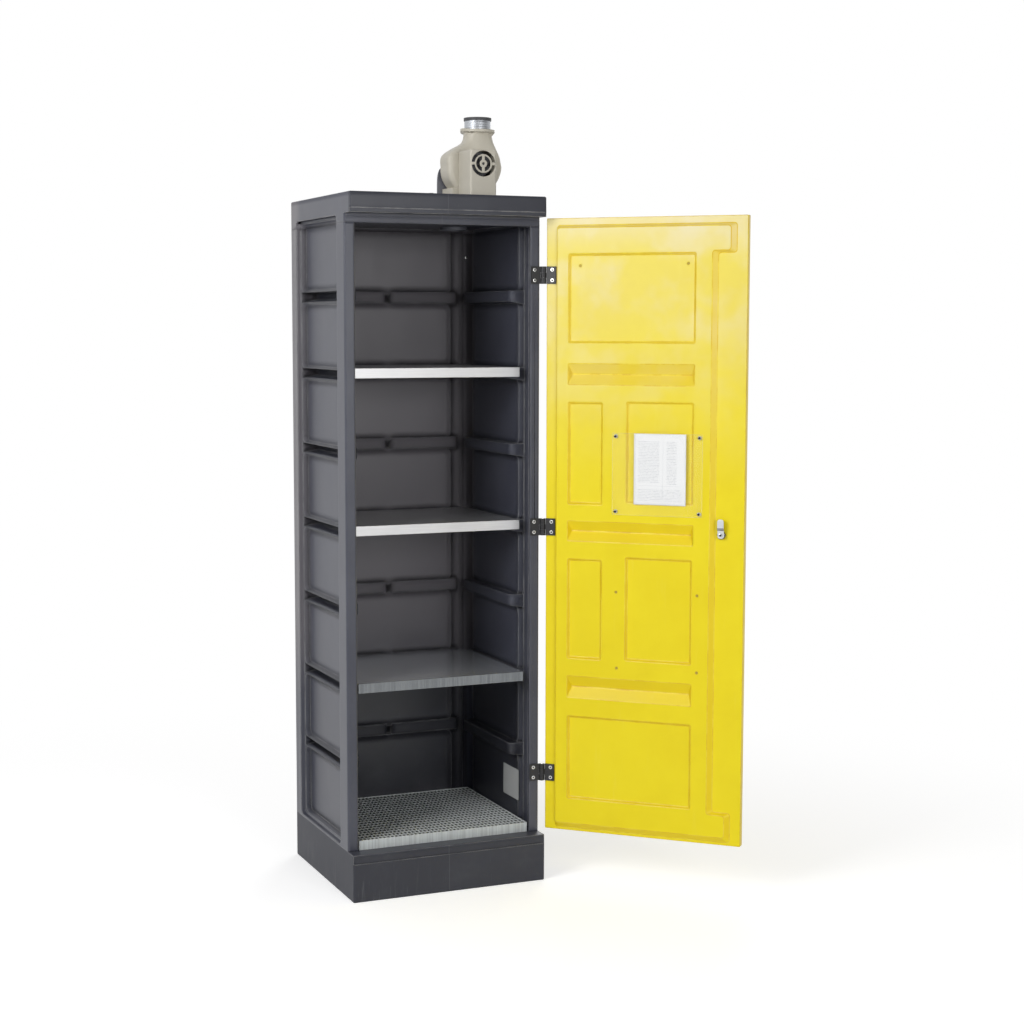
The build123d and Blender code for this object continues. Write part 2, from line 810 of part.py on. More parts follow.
with BuildPart() as cam_screw:
    round_bars(thread_end, lock_spot, cam_screw_radius, cam_screw_bite + cam_thickness)
    round_bars(door_face(cam_back - cam_thickness), lock_spot, cam_head_radius, cam_head_height)

# Shelves
shelf_front = front_plane + shelf_front_setback
for name, rib in shelf_ribs.items():
    shelf_out = lower_shelf_out if name == "shelf_lower" else 0
    rest = rib_tops[rib]
    front = shelf_front - shelf_out
    back = inner_back - shelf_back_gap - shelf_out
    top = rest + shelf_thickness
    shelf_x = (shelf_side_gap - inner_half, inner_half - shelf_side_gap)
    with BuildPart() as shelf:
        span_box(shelf_x, (front, back), (rest, top))
        span_box(shelf_x, (front, front + shelf_thickness), (top - shelf_flange, top))
        foot = top - shelf_flange
        span_box(shelf_x, (front, front + shelf_return), (foot, foot + shelf_thickness))
    pieces[name] = shelf

# Grating over the sump
with BuildPart() as grating:
    grating_half = opening_half - grating_side_gap
    grating_y = (front_plane + grating_front, inner_back - grating_back_gap)
    grating_z = (plinth_height, plinth_height + grating_height)
    span_box((-grating_half, grating_half), grating_y, grating_z)
    rim_x = (grating_rim - grating_half, grating_half - grating_rim)
    rim_y = (grating_y[0] + grating_rim, grating_y[1] - grating_rim)
    span_box(rim_x, rim_y, (grating_z[0] - overrun, grating_z[1] + overrun), Mode.SUBTRACT)
    pitch = (rim_x[1] - rim_x[0]) / (grating_bars + 1)
    bar_z = (grating_z[1] - grating_bar_height, grating_z[1])
    for step in range(grating_bars):
        x = rim_x[0] + pitch * (step + 1)
        span_box((x - grating_bar / 2, x + grating_bar / 2), grating_y, bar_z)
    tie_pitch = (rim_y[1] - rim_y[0]) / (grating_ties + 1)
    tie_z = (bar_z[0] - grating_tie, bar_z[0] + grating_tie / 2)
    for step in range(grating_ties):
        y = rim_y[0] + tie_pitch * (step + 1)
        span_box((-grating_half, grating_half), (y - grating_tie / 2, y + grating_tie / 2), tie_z)

# Fan housing
neck_level = fan_z + neck_top
outlet_spot = [(fan_x + outlet_x, scroll_front + scroll_depth / 2)]
with BuildPart() as scroll_hollow:
    with BuildSketch(front_face(scroll_back - scroll_wall)):
        with BuildLine():
            scroll_edge(scroll_wall)
        make_face()
    extrude(amount=scroll_depth - 2 * scroll_wall)
    fillet(volute_rims(scroll_hollow), scroll_round - scroll_wall)

with BuildPart() as fan_scroll:
    with BuildSketch(front_face(scroll_back)):
        with BuildLine():
            scroll_edge(0)
        make_face()
    extrude(amount=scroll_depth)
    fillet(volute_rims(fan_scroll), scroll_round)
    foot_x = (fan_x - foot_left, fan_x + foot_right)
    span_box(foot_x, (scroll_front, scroll_back), (height, height + foot_height))
    round_bars(Plane.XY.offset(neck_level), outlet_spot, flange_radius, flange_height)
    add(scroll_hollow.part, mode=Mode.SUBTRACT)
    fan_spot = [(fan_x, fan_z)]
    plate_hole = scroll_wall + 2 * overrun
    round_bars(front_face(scroll_back + overrun), fan_spot, inlet_radius, plate_hole, Mode.SUBTRACT)
    motor_seat = front_face(scroll_front + scroll_wall + overrun)
    round_bars(motor_seat, fan_spot, motor_spigot, plate_hole, Mode.SUBTRACT)
    mouth = Plane.XY.offset(neck_level - scroll_wall - overrun)
    mouth_radius = spigot_radius - spigot_wall
    mouth_length = flange_height + scroll_wall + 2 * overrun
    round_bars(mouth, outlet_spot, mouth_radius, mouth_length, Mode.SUBTRACT)

flange_top = neck_level + flange_height
with BuildPart() as outlet_spigot:
    spigot_face = Plane.XY.offset(flange_top)
    round_bars(spigot_face, outlet_spot, spigot_radius, spigot_height + seal_height)
    round_bars(spigot_face, outlet_spot, mouth_radius, spigot_height + seal_height, Mode.SUBTRACT)

with BuildPart() as outlet_seal:
    seal_face = Plane.XY.offset(flange_top + spigot_height)
    round_bars(seal_face, outlet_spot, seal_radius, seal_height)
    round_bars(seal_face, outlet_spot, spigot_radius, seal_height, Mode.SUBTRACT)


def cover_plan(inset, front, back):
    """Plan outline of the motor cover: a front with two bevelled corners."""
    half = cover_face / 2 + cover_bevel - inset
    face = cover_face / 2 - inset / 2
    Polyline(
        (fan_x - half, back),
        (fan_x - half, front + cover_bevel),
        (fan_x - face, front),
        (fan_x + face, front),
        (fan_x + half, front + cover_bevel),
        (fan_x + half, back),
        close=True,
    )


def slot_ring(outer, inner, upright):
    """A ring-shaped vent with a bridge across it, upright or level."""
    bridge = (grille_bridge, 2 * outer + overrun) if upright else (2 * outer + overrun, grille_bridge)
    with Locations((fan_x, fan_z)):
        Circle(outer)
        Circle(inner, mode=Mode.SUBTRACT)
        Rectangle(*bridge, mode=Mode.SUBTRACT)


with BuildPart() as fan_motor_cover:
    with BuildSketch(Plane.XY.offset(height)):
        with BuildLine():
            cover_plan(0, cover_front, scroll_front)
        make_face()
    extrude(amount=cover_height)
    top_edges = fan_motor_cover.faces().sort_by(Axis.Z)[-1].edges().sort_by(Axis.Y)[:-1]
    fillet(top_edges, cover_top_radius)
    with BuildSketch(Plane.XY.offset(height - overrun)):
        with BuildLine():
            cover_plan(cover_wall, cover_front + cover_wall, scroll_front + overrun)
        make_face()
    extrude(amount=cover_height - cover_wall + overrun, mode=Mode.SUBTRACT)
    grille_face = front_face(cover_front + cover_wall + overrun)
    with BuildSketch(grille_face):
        slot_ring(grille_outer, grille_outer_in, False)
    extrude(amount=cover_wall + 2 * overrun, mode=Mode.SUBTRACT)
    with BuildSketch(grille_face):
        slot_ring(grille_inner, grille_inner_in, True)
    extrude(amount=cover_wall + 2 * overrun, mode=Mode.SUBTRACT)
    round_bars(grille_face, fan_spot, grille_hub_screw, cover_wall + 2 * overrun, Mode.SUBTRACT)

motor_front = scroll_front - motor_length
with BuildPart() as fan_motor:
    round_bars(front_face(scroll_front), fan_spot, motor_radius, motor_length)
    spigot_end = front_face(scroll_front + motor_spigot_length)
    round_bars(spigot_end, fan_spot, motor_spigot, motor_spigot_length)
    bore = shaft_radius + shaft_play
    through = motor_length + motor_spigot_length + overrun
    round_bars(spigot_end, fan_spot, bore, through, Mode.SUBTRACT)

impeller_front = scroll_front + scroll_wall + impeller_gap
with BuildPart() as fan_shaft:
    shaft_end = impeller_front + impeller_hub_length
    round_bars(front_face(shaft_end), fan_spot, shaft_radius, shaft_end - scroll_front + shaft_back)

with BuildPart() as fan_impeller:
    plate_back_y = impeller_front + impeller_plate
    round_bars(front_face(plate_back_y), fan_spot, impeller_radius, impeller_plate)
    round_bars(front_face(shaft_end), fan_spot, impeller_hub, impeller_hub_length)
    with BuildSketch(front_face(impeller_front + impeller_width)):
        with Locations((fan_x, fan_z)):
            Circle(impeller_radius)
            Circle(impeller_eye, mode=Mode.SUBTRACT)
    extrude(amount=impeller_plate)
    blade_radius = (impeller_radius + impeller_eye) / 2
    blade_chord = impeller_radius - impeller_eye
    with BuildSketch(front_face(impeller_front + impeller_width)):
        with Locations((fan_x, fan_z)):
            with PolarLocations(blade_radius, blade_count):
                Rectangle(blade_chord, blade_thickness, rotation=blade_lean)
    extrude(amount=impeller_width)
    round_bars(front_face(shaft_end), fan_spot, shaft_radius, impeller_hub_length, Mode.SUBTRACT)

with BuildPart() as fan_inlet_elbow:
    bend_start = scroll_back + elbow_lead
    bend_axis = Axis((fan_x, bend_start, fan_z - elbow_bend), (-1, 0, 0))
    elbow_bore = elbow_radius - elbow_wall
    with BuildSketch(front_face(bend_start)) as ring:
        with Locations((fan_x, fan_z)):
            Circle(elbow_radius)
            Circle(elbow_bore, mode=Mode.SUBTRACT)
    extrude(ring.sketch, amount=elbow_lead)
    revolve(ring.sketch, axis=bend_axis, revolution_arc=90)
    drop_length = fan_z - elbow_bend - ceiling + elbow_drop
    drop_face = Plane.XY.offset(ceiling - elbow_drop)
    with BuildSketch(drop_face) as drop:
        with Locations((fan_x, elbow_y)):
            Circle(elbow_radius)
            Circle(elbow_bore, mode=Mode.SUBTRACT)
    extrude(drop.sketch, amount=drop_length)

with BuildPart() as roof_collar:
    round_bars(Plane.XY.offset(height), [(fan_x, elbow_y)], collar_radius, collar_height)
    round_bars(Plane.XY.offset(height), [(fan_x, elbow_y)], elbow_radius, collar_height, Mode.SUBTRACT)

with BuildPart() as fan_rear_bracket:
    with BuildSketch(front_face(scroll_back + bracket_plate)):
        with BuildLine():
            base = height
            Polyline(
                (fan_x - bracket_half, base + bracket_shoulder),
                (fan_x - bracket_half, base),
                (fan_x + bracket_half, base),
                (fan_x + bracket_half, base + bracket_shoulder),
            )
            Spline(
                (fan_x + bracket_half, base + bracket_shoulder),
                (fan_x + bracket_waist, fan_z),
                (fan_x, fan_z + bracket_crown),
                (fan_x - bracket_waist, fan_z),
                (fan_x - bracket_half, base + bracket_shoulder),
                tangents=((0, 1), (0, -1)),
            )
        make_face()
        arch = bracket_half - bracket_leg
        with Locations((fan_x, fan_z)):
            Circle(arch, mode=Mode.SUBTRACT)
        with Locations((fan_x, base + fan_axis / 2)):
            Rectangle(2 * arch, fan_axis, mode=Mode.SUBTRACT)
    extrude(amount=bracket_plate)
    foot_z = (height, height + bracket_plate)
    for x in bracket_feet:
        foot_span = (fan_x + x - bracket_leg / 2, fan_x + x + bracket_leg / 2)
        span_box(foot_span, (scroll_back, scroll_back + bracket_plate + bracket_foot), foot_z)
    round_bars(Plane.XY.offset(height), foot_spots, bracket_screw_radius, bracket_plate, Mode.SUBTRACT)

with BuildPart() as fan_foot_screws:
    screw_low = Plane.XY.offset(height + bracket_plate - bracket_bite)
    round_bars(screw_low, foot_spots, bracket_screw_radius, bracket_bite)
    foot_top = Plane.XY.offset(height + bracket_plate)
    round_bars(foot_top, foot_spots, bracket_head_radius, bracket_head_height)

# Cable gland on the roof
gland_spot = [(gland_x, gland_y)]
gland_top = height + gland_hex_height + gland_neck
with BuildPart() as cable_gland_body:
    with BuildSketch(Plane.XY.offset(height)):
        with Locations((gland_x, gland_y)):
            RegularPolygon(gland_hex, 6)
    extrude(amount=gland_hex_height)
    round_bars(Plane.XY.offset(height - gland_tail), gland_spot, gland_thread, gland_tail + overrun)
    round_bars(Plane.XY.offset(height), gland_spot, gland_thread, gland_hex_height + gland_neck)
    bore_length = gland_tail + gland_hex_height + gland_neck + 2 * overrun
    bore_start = Plane.XY.offset(height - gland_tail - overrun)
    round_bars(bore_start, gland_spot, gland_bore, bore_length, Mode.SUBTRACT)

with BuildPart() as cable_gland_nut:
    nut_low = height + gland_hex_height
    round_bars(Plane.XY.offset(nut_low), gland_spot, gland_dome, gland_dome_height)
    chamfer(cable_gland_nut.faces().sort_by(Axis.Z)[-1].edges(), gland_dome_bevel)
    round_bars(Plane.XY.offset(nut_low), gland_spot, gland_thread, gland_neck, Mode.SUBTRACT)
    round_bars(Plane.XY.offset(nut_low), gland_spot, gland_bore, gland_dome_height + overrun, Mode.SUBTRACT)

pieces.update(
    wall_anchor_screws=wall_anchor_screws,
    hinge_frame_screws=hinge_frame_screws,
    hinge_door_screws=hinge_door_screws,
    door=door,
    door_inserts=door_inserts,
    holder_spacers=holder_spacers,
    holder_plate=holder_plate,
    holder_screws=holder_screws,
    document_sheet=document_sheet,
    lock_housing=lock_housing,
    lock_nut=lock_nut,
    lock_core=lock_core,
    lock_cam=lock_cam,
    cam_screw=cam_screw,
    grating=grating,
    fan_scroll=fan_scroll,
    outlet_spigot=outlet_spigot,
    outlet_seal=outlet_seal,
    fan_motor_cover=fan_motor_cover,
    fan_motor=fan_motor,
    fan_shaft=fan_shaft,
    fan_impeller=fan_impeller,
    fan_inlet_elbow=fan_inlet_elbow,
    roof_collar=roof_collar,
    fan_rear_bracket=fan_rear_bracket,
    fan_foot_screws=fan_foot_screws,
    cable_gland_body=cable_gland_body,
    cable_gland_nut=cable_gland_nut,
)
os.makedirs("parts", exist_ok=True)
for name, piece in pieces.items():
    piece.part.label = name
    export_step(piece.part, f"parts/{name}.step")
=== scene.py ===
import json
from math import atan2, cos, hypot, pi, radians, sin

import bmesh
import bpy
from mathutils import Matrix, Vector


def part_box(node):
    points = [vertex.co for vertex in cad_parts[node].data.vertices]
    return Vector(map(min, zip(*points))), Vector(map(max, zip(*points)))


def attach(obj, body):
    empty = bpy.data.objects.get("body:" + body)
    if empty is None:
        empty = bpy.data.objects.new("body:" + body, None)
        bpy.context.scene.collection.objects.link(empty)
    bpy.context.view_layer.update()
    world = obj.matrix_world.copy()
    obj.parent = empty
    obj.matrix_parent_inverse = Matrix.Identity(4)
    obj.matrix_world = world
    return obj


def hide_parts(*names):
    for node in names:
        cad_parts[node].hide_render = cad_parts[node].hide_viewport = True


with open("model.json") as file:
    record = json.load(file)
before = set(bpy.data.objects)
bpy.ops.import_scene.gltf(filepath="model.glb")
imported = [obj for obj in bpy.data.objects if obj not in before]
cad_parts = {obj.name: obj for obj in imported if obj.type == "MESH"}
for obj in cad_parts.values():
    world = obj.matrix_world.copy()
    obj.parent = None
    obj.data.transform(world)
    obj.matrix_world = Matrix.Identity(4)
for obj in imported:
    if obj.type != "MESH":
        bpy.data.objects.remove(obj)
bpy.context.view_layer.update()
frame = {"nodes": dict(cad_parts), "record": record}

# Metres, in the frame of the solids: the front looks to -Y, the door hangs on the right and stands open.
MM = 0.001
RECORD = frame["record"]
SLOT_OF = {row["node"]: row["material_slot"] for row in RECORD["subparts"]}
BODY_OF = {node: body for body, nodes in RECORD["behaviour"]["bodies"].items() for node in nodes}

DOOR_HEADING = radians(316)
DOOR_ALONG = Vector((cos(DOOR_HEADING), sin(DOOR_HEADING), 0))
DOOR_OUT = Vector((-sin(DOOR_HEADING), cos(DOOR_HEADING), 0))
UP = Vector((0, 0, 1))
FRONT = Vector((0, -1, 0))
OUTLET_DROP = 3.0 * MM


class Value:
    """A socket that varies over a surface; its operators add Math nodes."""

    def __init__(self, graph, socket):
        self.graph = graph
        self.socket = socket

    def __add__(self, other):
        return self.graph.maths("ADD", self, other)

    __radd__ = __add__

    def __sub__(self, other):
        return self.graph.maths("SUBTRACT", self, other)

    def __rsub__(self, other):
        return self.graph.maths("SUBTRACT", other, self)

    def __mul__(self, other):
        return self.graph.maths("MULTIPLY", self, other)

    __rmul__ = __mul__

    def __abs__(self):
        return self.graph.maths("ABSOLUTE", self)

    def __mod__(self, other):
        return self.graph.maths("FLOORED_MODULO", self, other)

    def between(self, low, high):
        """Nought below low, one above high and a soft rise between; the other way round if low is higher."""
        if low > high:
            return 1 - self.between(high, low)
        bounds = {"Value": self, "From Min": low, "From Max": high}
        return self.graph.node("ShaderNodeMapRange", {"interpolation_type": "SMOOTHSTEP"}, bounds)


class Graph:
    """A node tree, and the one method that adds its nodes."""

    def __init__(self, tree):
        self.tree = tree

    def node(self, kind, settings=None, sockets=None, out=0):
        made = self.tree.nodes.new(kind)
        for key, value in (settings or {}).items():
            setattr(made, key, value)
        for key, value in (sockets or {}).items():
            self.feed(made.inputs[key], value)
        return Value(self, made.outputs[out]) if len(made.outputs) else made

    def feed(self, socket, value):
        if isinstance(value, Value):
            self.tree.links.new(value.socket, socket)
        else:
            socket.default_value = value

    def maths(self, operation, *values):
        return self.node("ShaderNodeMath", {"operation": operation}, dict(enumerate(values)))


class Finish(Graph):
    """A material: constants go to the shader's own sockets, and what varies is fed by expressions."""

    def __init__(self, name, constants=None):
        self.material = bpy.data.materials.new(name)
        self.material.use_nodes = True
        super().__init__(self.material.node_tree)
        self.shader = self.tree.nodes["Principled BSDF"]
        self.place = self.node("ShaderNodeTexCoord", out="Object")
        self.set(constants or {})

    def set(self, sockets):
        for key, value in sockets.items():
            self.feed(self.shader.inputs[key], value)

    def fed(self, key):
        """What already feeds a socket of the shader."""
        return Value(self, self.shader.inputs[key].links[0].from_socket)

    def stretched(self, scale, turn=(0, 0, 0)):
        return self.node("ShaderNodeMapping", {}, {"Vector": self.place, "Scale": scale, "Rotation": turn})

    def noise(self, scale, detail=2.0, rough=0.5, place=None):
        sockets = {"Vector": place or self.place, "Scale": scale, "Detail": detail, "Roughness": rough}
        return self.node("ShaderNodeTexNoise", {}, sockets, "Fac")

    def axis(self, index, place=None):
        return self.node("ShaderNodeSeparateXYZ", {}, {"Vector": place or self.place}, index)

    def mix(self, share, first, second):
        return self.node("ShaderNodeMix", {"data_type": "RGBA"}, {0: share, 6: first, 7: second}, 2)

    def relief(self, height, distance, strength=1.0, under=None):
        sockets = {"Height": height, "Distance": distance, "Strength": strength}
        if under:
            sockets["Normal"] = under
        return self.node("ShaderNodeBump", {}, sockets)


def tint(red, green, blue):
    return (red, green, blue, 1.0)


def moulded(name, dark, light, rough, grain, sway, soft=None):
    """Moulded plastic: mottled colour, uneven gloss, orange peel, a slow sway of the wall and soft edges."""
    finish = Finish(name)
    mottle = finish.noise(7.0, 4.0, 0.6)
    cloud = finish.noise(2.2, 2.0)
    speck = finish.noise(420.0, 2.0)
    colour = finish.mix((mottle * 0.65 + cloud * 0.35).between(0.32, 0.68), dark, light)
    peel = finish.noise(grain, 2.0)
    wave = finish.noise(9.0, 1.0)
    rounded = finish.node("ShaderNodeBevel", {"samples": 6}, {"Radius": soft(finish)}) if soft else None
    slow = finish.relief(wave, sway, under=rounded)
    finish.set({
        "Roughness": rough + (mottle - 0.5) * 0.16 + (speck - 0.5) * 0.06,
        "Normal": finish.relief(peel, 0.00016, 0.6, slow),
    })
    return finish, colour


def evenly(radius):
    """The same soft edge all over."""
    return lambda finish: radius


def softer_inside(finish):
    """Small rounds on the outside of the shell and wide ones inside it."""
    x, y, z = (finish.axis(index) for index in range(3))
    inside = abs(x).between(0.276, 0.270) * y.between(-0.212, -0.205) * y.between(0.262, 0.256)
    return inside * z.between(0.14, 0.15) * z.between(1.85, 1.84) * 0.020 + 0.008


def shell_plastic():
    """The grey shell: scuffed low at the left, dusty, with a seam in front; painted light on the back wall
    inside, and painted shade in the lowest compartment, on the plinth and on the lid's front.
    """
    dark, light = tint(0.045, 0.048, 0.068), tint(0.062, 0.066, 0.088)
    finish, colour = moulded("dark_shell_plastic", dark, light, 0.36, 330.0, 0.0011, softer_inside)
    x, y, z = (finish.axis(index) for index in range(3))
    streak = finish.noise(1.0, 3.0, 0.6, finish.stretched((160, 160, 9)))
    scratch = finish.noise(1.0, 2.0, 0.7, finish.stretched((420, 420, 22), (0.05, 0.03, 0)))
    low = z.between(0.125, 0.02)
    left = x.between(0.02, -0.20)
    scuff = streak.between(0.56, 0.74) * low * left * 0.22
    fine = scratch.between(0.66, 0.78) * 0.16
    seam = abs(x + 0.005).between(0.0016, 0.0004) * y.between(-0.20, -0.21) * 0.18
    dust = finish.noise(3.0, 5.0, 0.7).between(0.5, 0.8) * z.between(0.6, 0.0) * 0.14
    within = y.between(0.268, 0.262)
    # Painted light: the back wall inside is made much paler above the lowest compartment.
    painted_light = y.between(0.16, 0.225) * within * z.between(0.44, 0.70)
    inner = finish.mix(painted_light * 0.8, colour, tint(0.150, 0.140, 0.152))
    # Painted shade: the lowest compartment inside is made much darker.
    painted_low_shade = abs(x).between(0.262, 0.255) * y.between(-0.19, -0.15) * within * z.between(0.70, 0.40)
    inner = finish.mix(painted_low_shade * 0.6, inner, tint(0.006, 0.006, 0.007))
    # Painted shade: the plinth is made darker; the same mask also makes it rougher.
    plinth_shade = z.between(0.134, 0.126) * 0.65
    # Painted shade: the lid's front face is made darker.
    lid_front_shade = z.between(1.836, 1.842) * y.between(-0.255, -0.265) * 0.55
    shaded = finish.mix(plinth_shade + lid_front_shade, inner, tint(0.010, 0.011, 0.016))
    worn = finish.mix(scuff + fine + seam + dust, shaded, tint(0.19, 0.19, 0.20))
    roof = z.between(1.905, 1.915) * 0.24
    finish.set({"Base Color": worn, "Roughness": finish.fed("Roughness") + plinth_shade * 0.35 + roof})
    return finish.material


def edge_wear_and_light(name, dark, light, rough):
    """The rounded edge of a moulding: paler in rubbed patches where it is worn, and elsewhere in its own
    tone, unlike the wall's: a painted highlight on the shell's edges, painted shade on the door's.
    """
    finish, colour = moulded(name, dark, dark, rough, 330.0, 0.0004)
    rub = finish.noise(16.0, 4.0, 0.65)
    finish.set({"Base Color": finish.mix(rub.between(0.36, 0.62), colour, light)})
    return finish.material


def door_plastic():
    """The yellow door: rubbed pale in places, with a painted sheen high up on its inner face and painted
    shade, a deeper orange, on its slopes and edges.
    """
    dark, light = tint(0.83, 0.665, 0.006), tint(0.87, 0.715, 0.009)
    finish, colour = moulded("yellow_door_plastic", dark, light, 0.36, 300.0, 0.0009, evenly(0.005))
    rub = finish.noise(1.0, 3.0, 0.6, finish.stretched((30, 30, 4)))
    grime = finish.noise(5.0, 5.0, 0.7).between(0.56, 0.80) * 0.10
    pale = finish.mix(rub.between(0.62, 0.80) * 0.18, colour, tint(0.92, 0.80, 0.12))
    z = finish.axis(2)
    # Painted highlight: a pale sheen on the inner face, stronger at the top and uneven in swirls.
    swirl = finish.noise(6.0, 3.0, 0.6).between(0.40, 0.66)
    sheen = z.between(1.10, 1.75) * (0.14 + swirl * 0.26) + z.between(1.74, 1.90) * 0.42
    facing = finish.node("ShaderNodeTexCoord", out="Normal")
    towards = {0: facing, 1: -DOOR_OUT}
    level = finish.node("ShaderNodeVectorMath", {"operation": "DOT_PRODUCT"}, towards, "Value")
    lit = finish.mix(sheen * level.between(-0.2, 0.3), pale, tint(0.86, 0.80, 0.68))
    # Painted shade: the panel slopes and the edges, but not the flat inner or outer faces, are a deeper
    # orange.
    slope = level.between(0.985, 0.80) * level.between(-0.90, -0.60)
    painted_light = finish.mix(slope * 0.55, lit, tint(0.82, 0.54, 0.004))
    finish.set({"Base Color": finish.mix(grime, painted_light, tint(0.46, 0.33, 0.02)), "Specular IOR Level": 0.32})
    return finish.material


def plain_plastic(name, dark, light, rough, grain=300.0, soft=None):
    finish, colour = moulded(name, dark, light, rough, grain, 0.0005, soft)
    finish.set({"Base Color": colour})
    return finish.material


def brushed_sheet(name, dark, light, rough, run):
    """Rolled sheet metal: fine lines along the run and faint smears."""
    finish = Finish(name, {"Metallic": 1.0})
    lines = finish.noise(1.0, 3.0, 0.6, finish.stretched(run))
    smear = finish.noise(6.0, 4.0, 0.6)
    finish.set({
        "Base Color": finish.mix((lines * 0.5 + smear * 0.5).between(0.35, 0.65), dark, light),
        "Roughness": rough + (lines - 0.5) * 0.12 + (smear - 0.5) * 0.16,
        "Normal": finish.relief(lines, 0.00004, 0.4),
    })
    return finish.material


def galvanised(name, dark, light, metal, rough=0.24, top=None, front=None):
    """Zinc coat: a faint spangle of flat crystals that differ in tone and gloss; painted shade, nearly black,
    below a top level, and a darker brushed tone on the front face, also painted shade.
    """
    finish = Finish(name, {"Metallic": metal})
    wobble = finish.noise(34.0, 3.0)
    sockets = {"Vector": finish.place, "Scale": 62.0, "Randomness": 1.0}
    cell = finish.node("ShaderNodeTexVoronoi", {}, sockets, "Color")
    tone = finish.axis(0, cell) * 0.6 + wobble * 0.4
    bloom = finish.noise(9.0, 4.0, 0.65).between(0.52, 0.78)
    zinc = finish.mix(bloom * 0.3, finish.mix(tone, dark, light), light)
    if top:
        # Painted shade: below the top level, behind the front face, the zinc is made nearly black.
        low = finish.axis(2).between(top - 0.0012, top - 0.0050) * finish.axis(1).between(-0.2015, -0.1995)
        zinc = finish.mix(low * 0.92, zinc, tint(0.008, 0.009, 0.010))
    if front:
        # Painted shade: the front face gets a darker tone of its own, with brushed streaks.
        level, pale, dull = front
        face = finish.axis(1).between(level + 0.004, level + 0.001)
        brushed = finish.noise(1.0, 3.0, 0.6, finish.stretched((240, 240, 6))).between(0.34, 0.66)
        zinc = finish.mix(face, zinc, finish.mix(brushed, dull, pale))
    finish.set({"Base Color": zinc, "Roughness": rough + (tone - 0.5) * 0.08 + bloom * 0.10})
    return finish.material


def plated(name, colour, dark, rough):
    """Plated fixings: bright with a little tarnish, and painted shade, nearly black, in the hollow of a
    screw's head.
    """
    finish = Finish(name, {"Metallic": 1.0})
    stain = finish.noise(190.0, 4.0, 0.65)
    hollow = finish.node("ShaderNodeAttribute", {"attribute_name": "hollow"}, out="Fac")
    surface = finish.mix(stain.between(0.45, 0.75), colour, dark)
    finish.set({
        # Painted shade: the hollow of a screw head is made nearly black.
        "Base Color": finish.mix(hollow * 0.95, surface, tint(0.012, 0.012, 0.013)),
        "Roughness": rough + (stain - 0.5) * 0.2,
    })
    return finish.material


def folded_chrome():
    """The lock's tongue: bright plate with a painted dark band across it, the shade of its fold."""
    finish = Finish("folded_chrome", {"Metallic": 1.0})
    low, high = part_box("lock_cam")
    share = (finish.axis(2) - low.z) * (1 / (high.z - low.z))
    fold_shade = share.between(0.38, 0.43) * share.between(0.58, 0.53)
    smear = finish.noise(60.0, 3.0)
    bright = finish.mix(smear, tint(0.62, 0.64, 0.69), tint(0.78, 0.80, 0.84))
    finish.set({
        # Painted shade: a dark band across the middle of the tongue.
        "Base Color": finish.mix(fold_shade * 0.7, bright, tint(0.14, 0.15, 0.18)),
        "Roughness": 0.24 + smear * 0.16,
    })
    return finish.material


def clear_sheet(name, colour, alpha, rough):
    """Clear acrylic: a thin tint, with a haze of fine wiping marks."""
    finish = Finish(name, {"Alpha": alpha, "IOR": 1.49})
    wipe = finish.noise(1.0, 2.0, 0.6, finish.stretched((140, 140, 16), (0.4, 0.2, 0)))
    finish.set({
        "Base Color": finish.mix(wipe, colour, tint(0.90, 0.92, 0.90)),
        "Roughness": rough + wipe * 0.08,
    })
    return finish.material


def printed_paper():
    """White paper with faint ruled columns of grey, as on any filled-in form."""
    finish = Finish("form_paper", {"Specular IOR Level": 0.25})
    chart = finish.node("ShaderNodeUVMap", {"uv_map": "page"})
    across, along = finish.axis(0, chart), finish.axis(1, chart)
    rows = ((along * 46.0) % 1.0).between(0.52, 0.62)
    words = finish.noise(1.0, 2.0, 0.7, finish.node(
        "ShaderNodeMapping", {}, {"Vector": chart, "Scale": (58, 46, 1)}
    )).between(0.46, 0.54)
    inside = across.between(0.07, 0.09) * across.between(0.93, 0.91)
    inside = inside * along.between(0.05, 0.06) * along.between(0.90, 0.89)
    column = across.between(0.62, 0.64) * across.between(0.84, 0.80) * along.between(0.28, 0.30)
    block = across.between(0.50, 0.48) * along.between(0.30, 0.32)
    ruled = abs(across - 0.56).between(0.006, 0.003) + abs(along - 0.27).between(0.005, 0.002)
    ink = rows * words * (block + column + along.between(0.24, 0.22)) * 0.55 + ruled * 0.2
    fibre = finish.noise(900.0, 3.0)
    sheet = finish.mix(fibre * 0.5, tint(0.86, 0.87, 0.88), tint(0.93, 0.93, 0.93))
    finish.set({
        "Base Color": finish.mix(ink * inside, sheet, tint(0.34, 0.36, 0.40)),
        "Roughness": 0.72 + fibre * 0.1,
        "Normal": finish.relief(fibre, 0.00003, 0.5),
    })
    return finish.material


def rubber(name, dark, light):
    finish = Finish(name)
    bloom = finish.noise(60.0, 4.0, 0.6)
    finish.set({
        "Base Color": finish.mix(bloom.between(0.4, 0.7), dark, light),
        "Roughness": 0.62 + (bloom - 0.5) * 0.2,
        "Normal": finish.relief(finish.noise(700.0), 0.00008, 0.5),
    })
    return finish.material


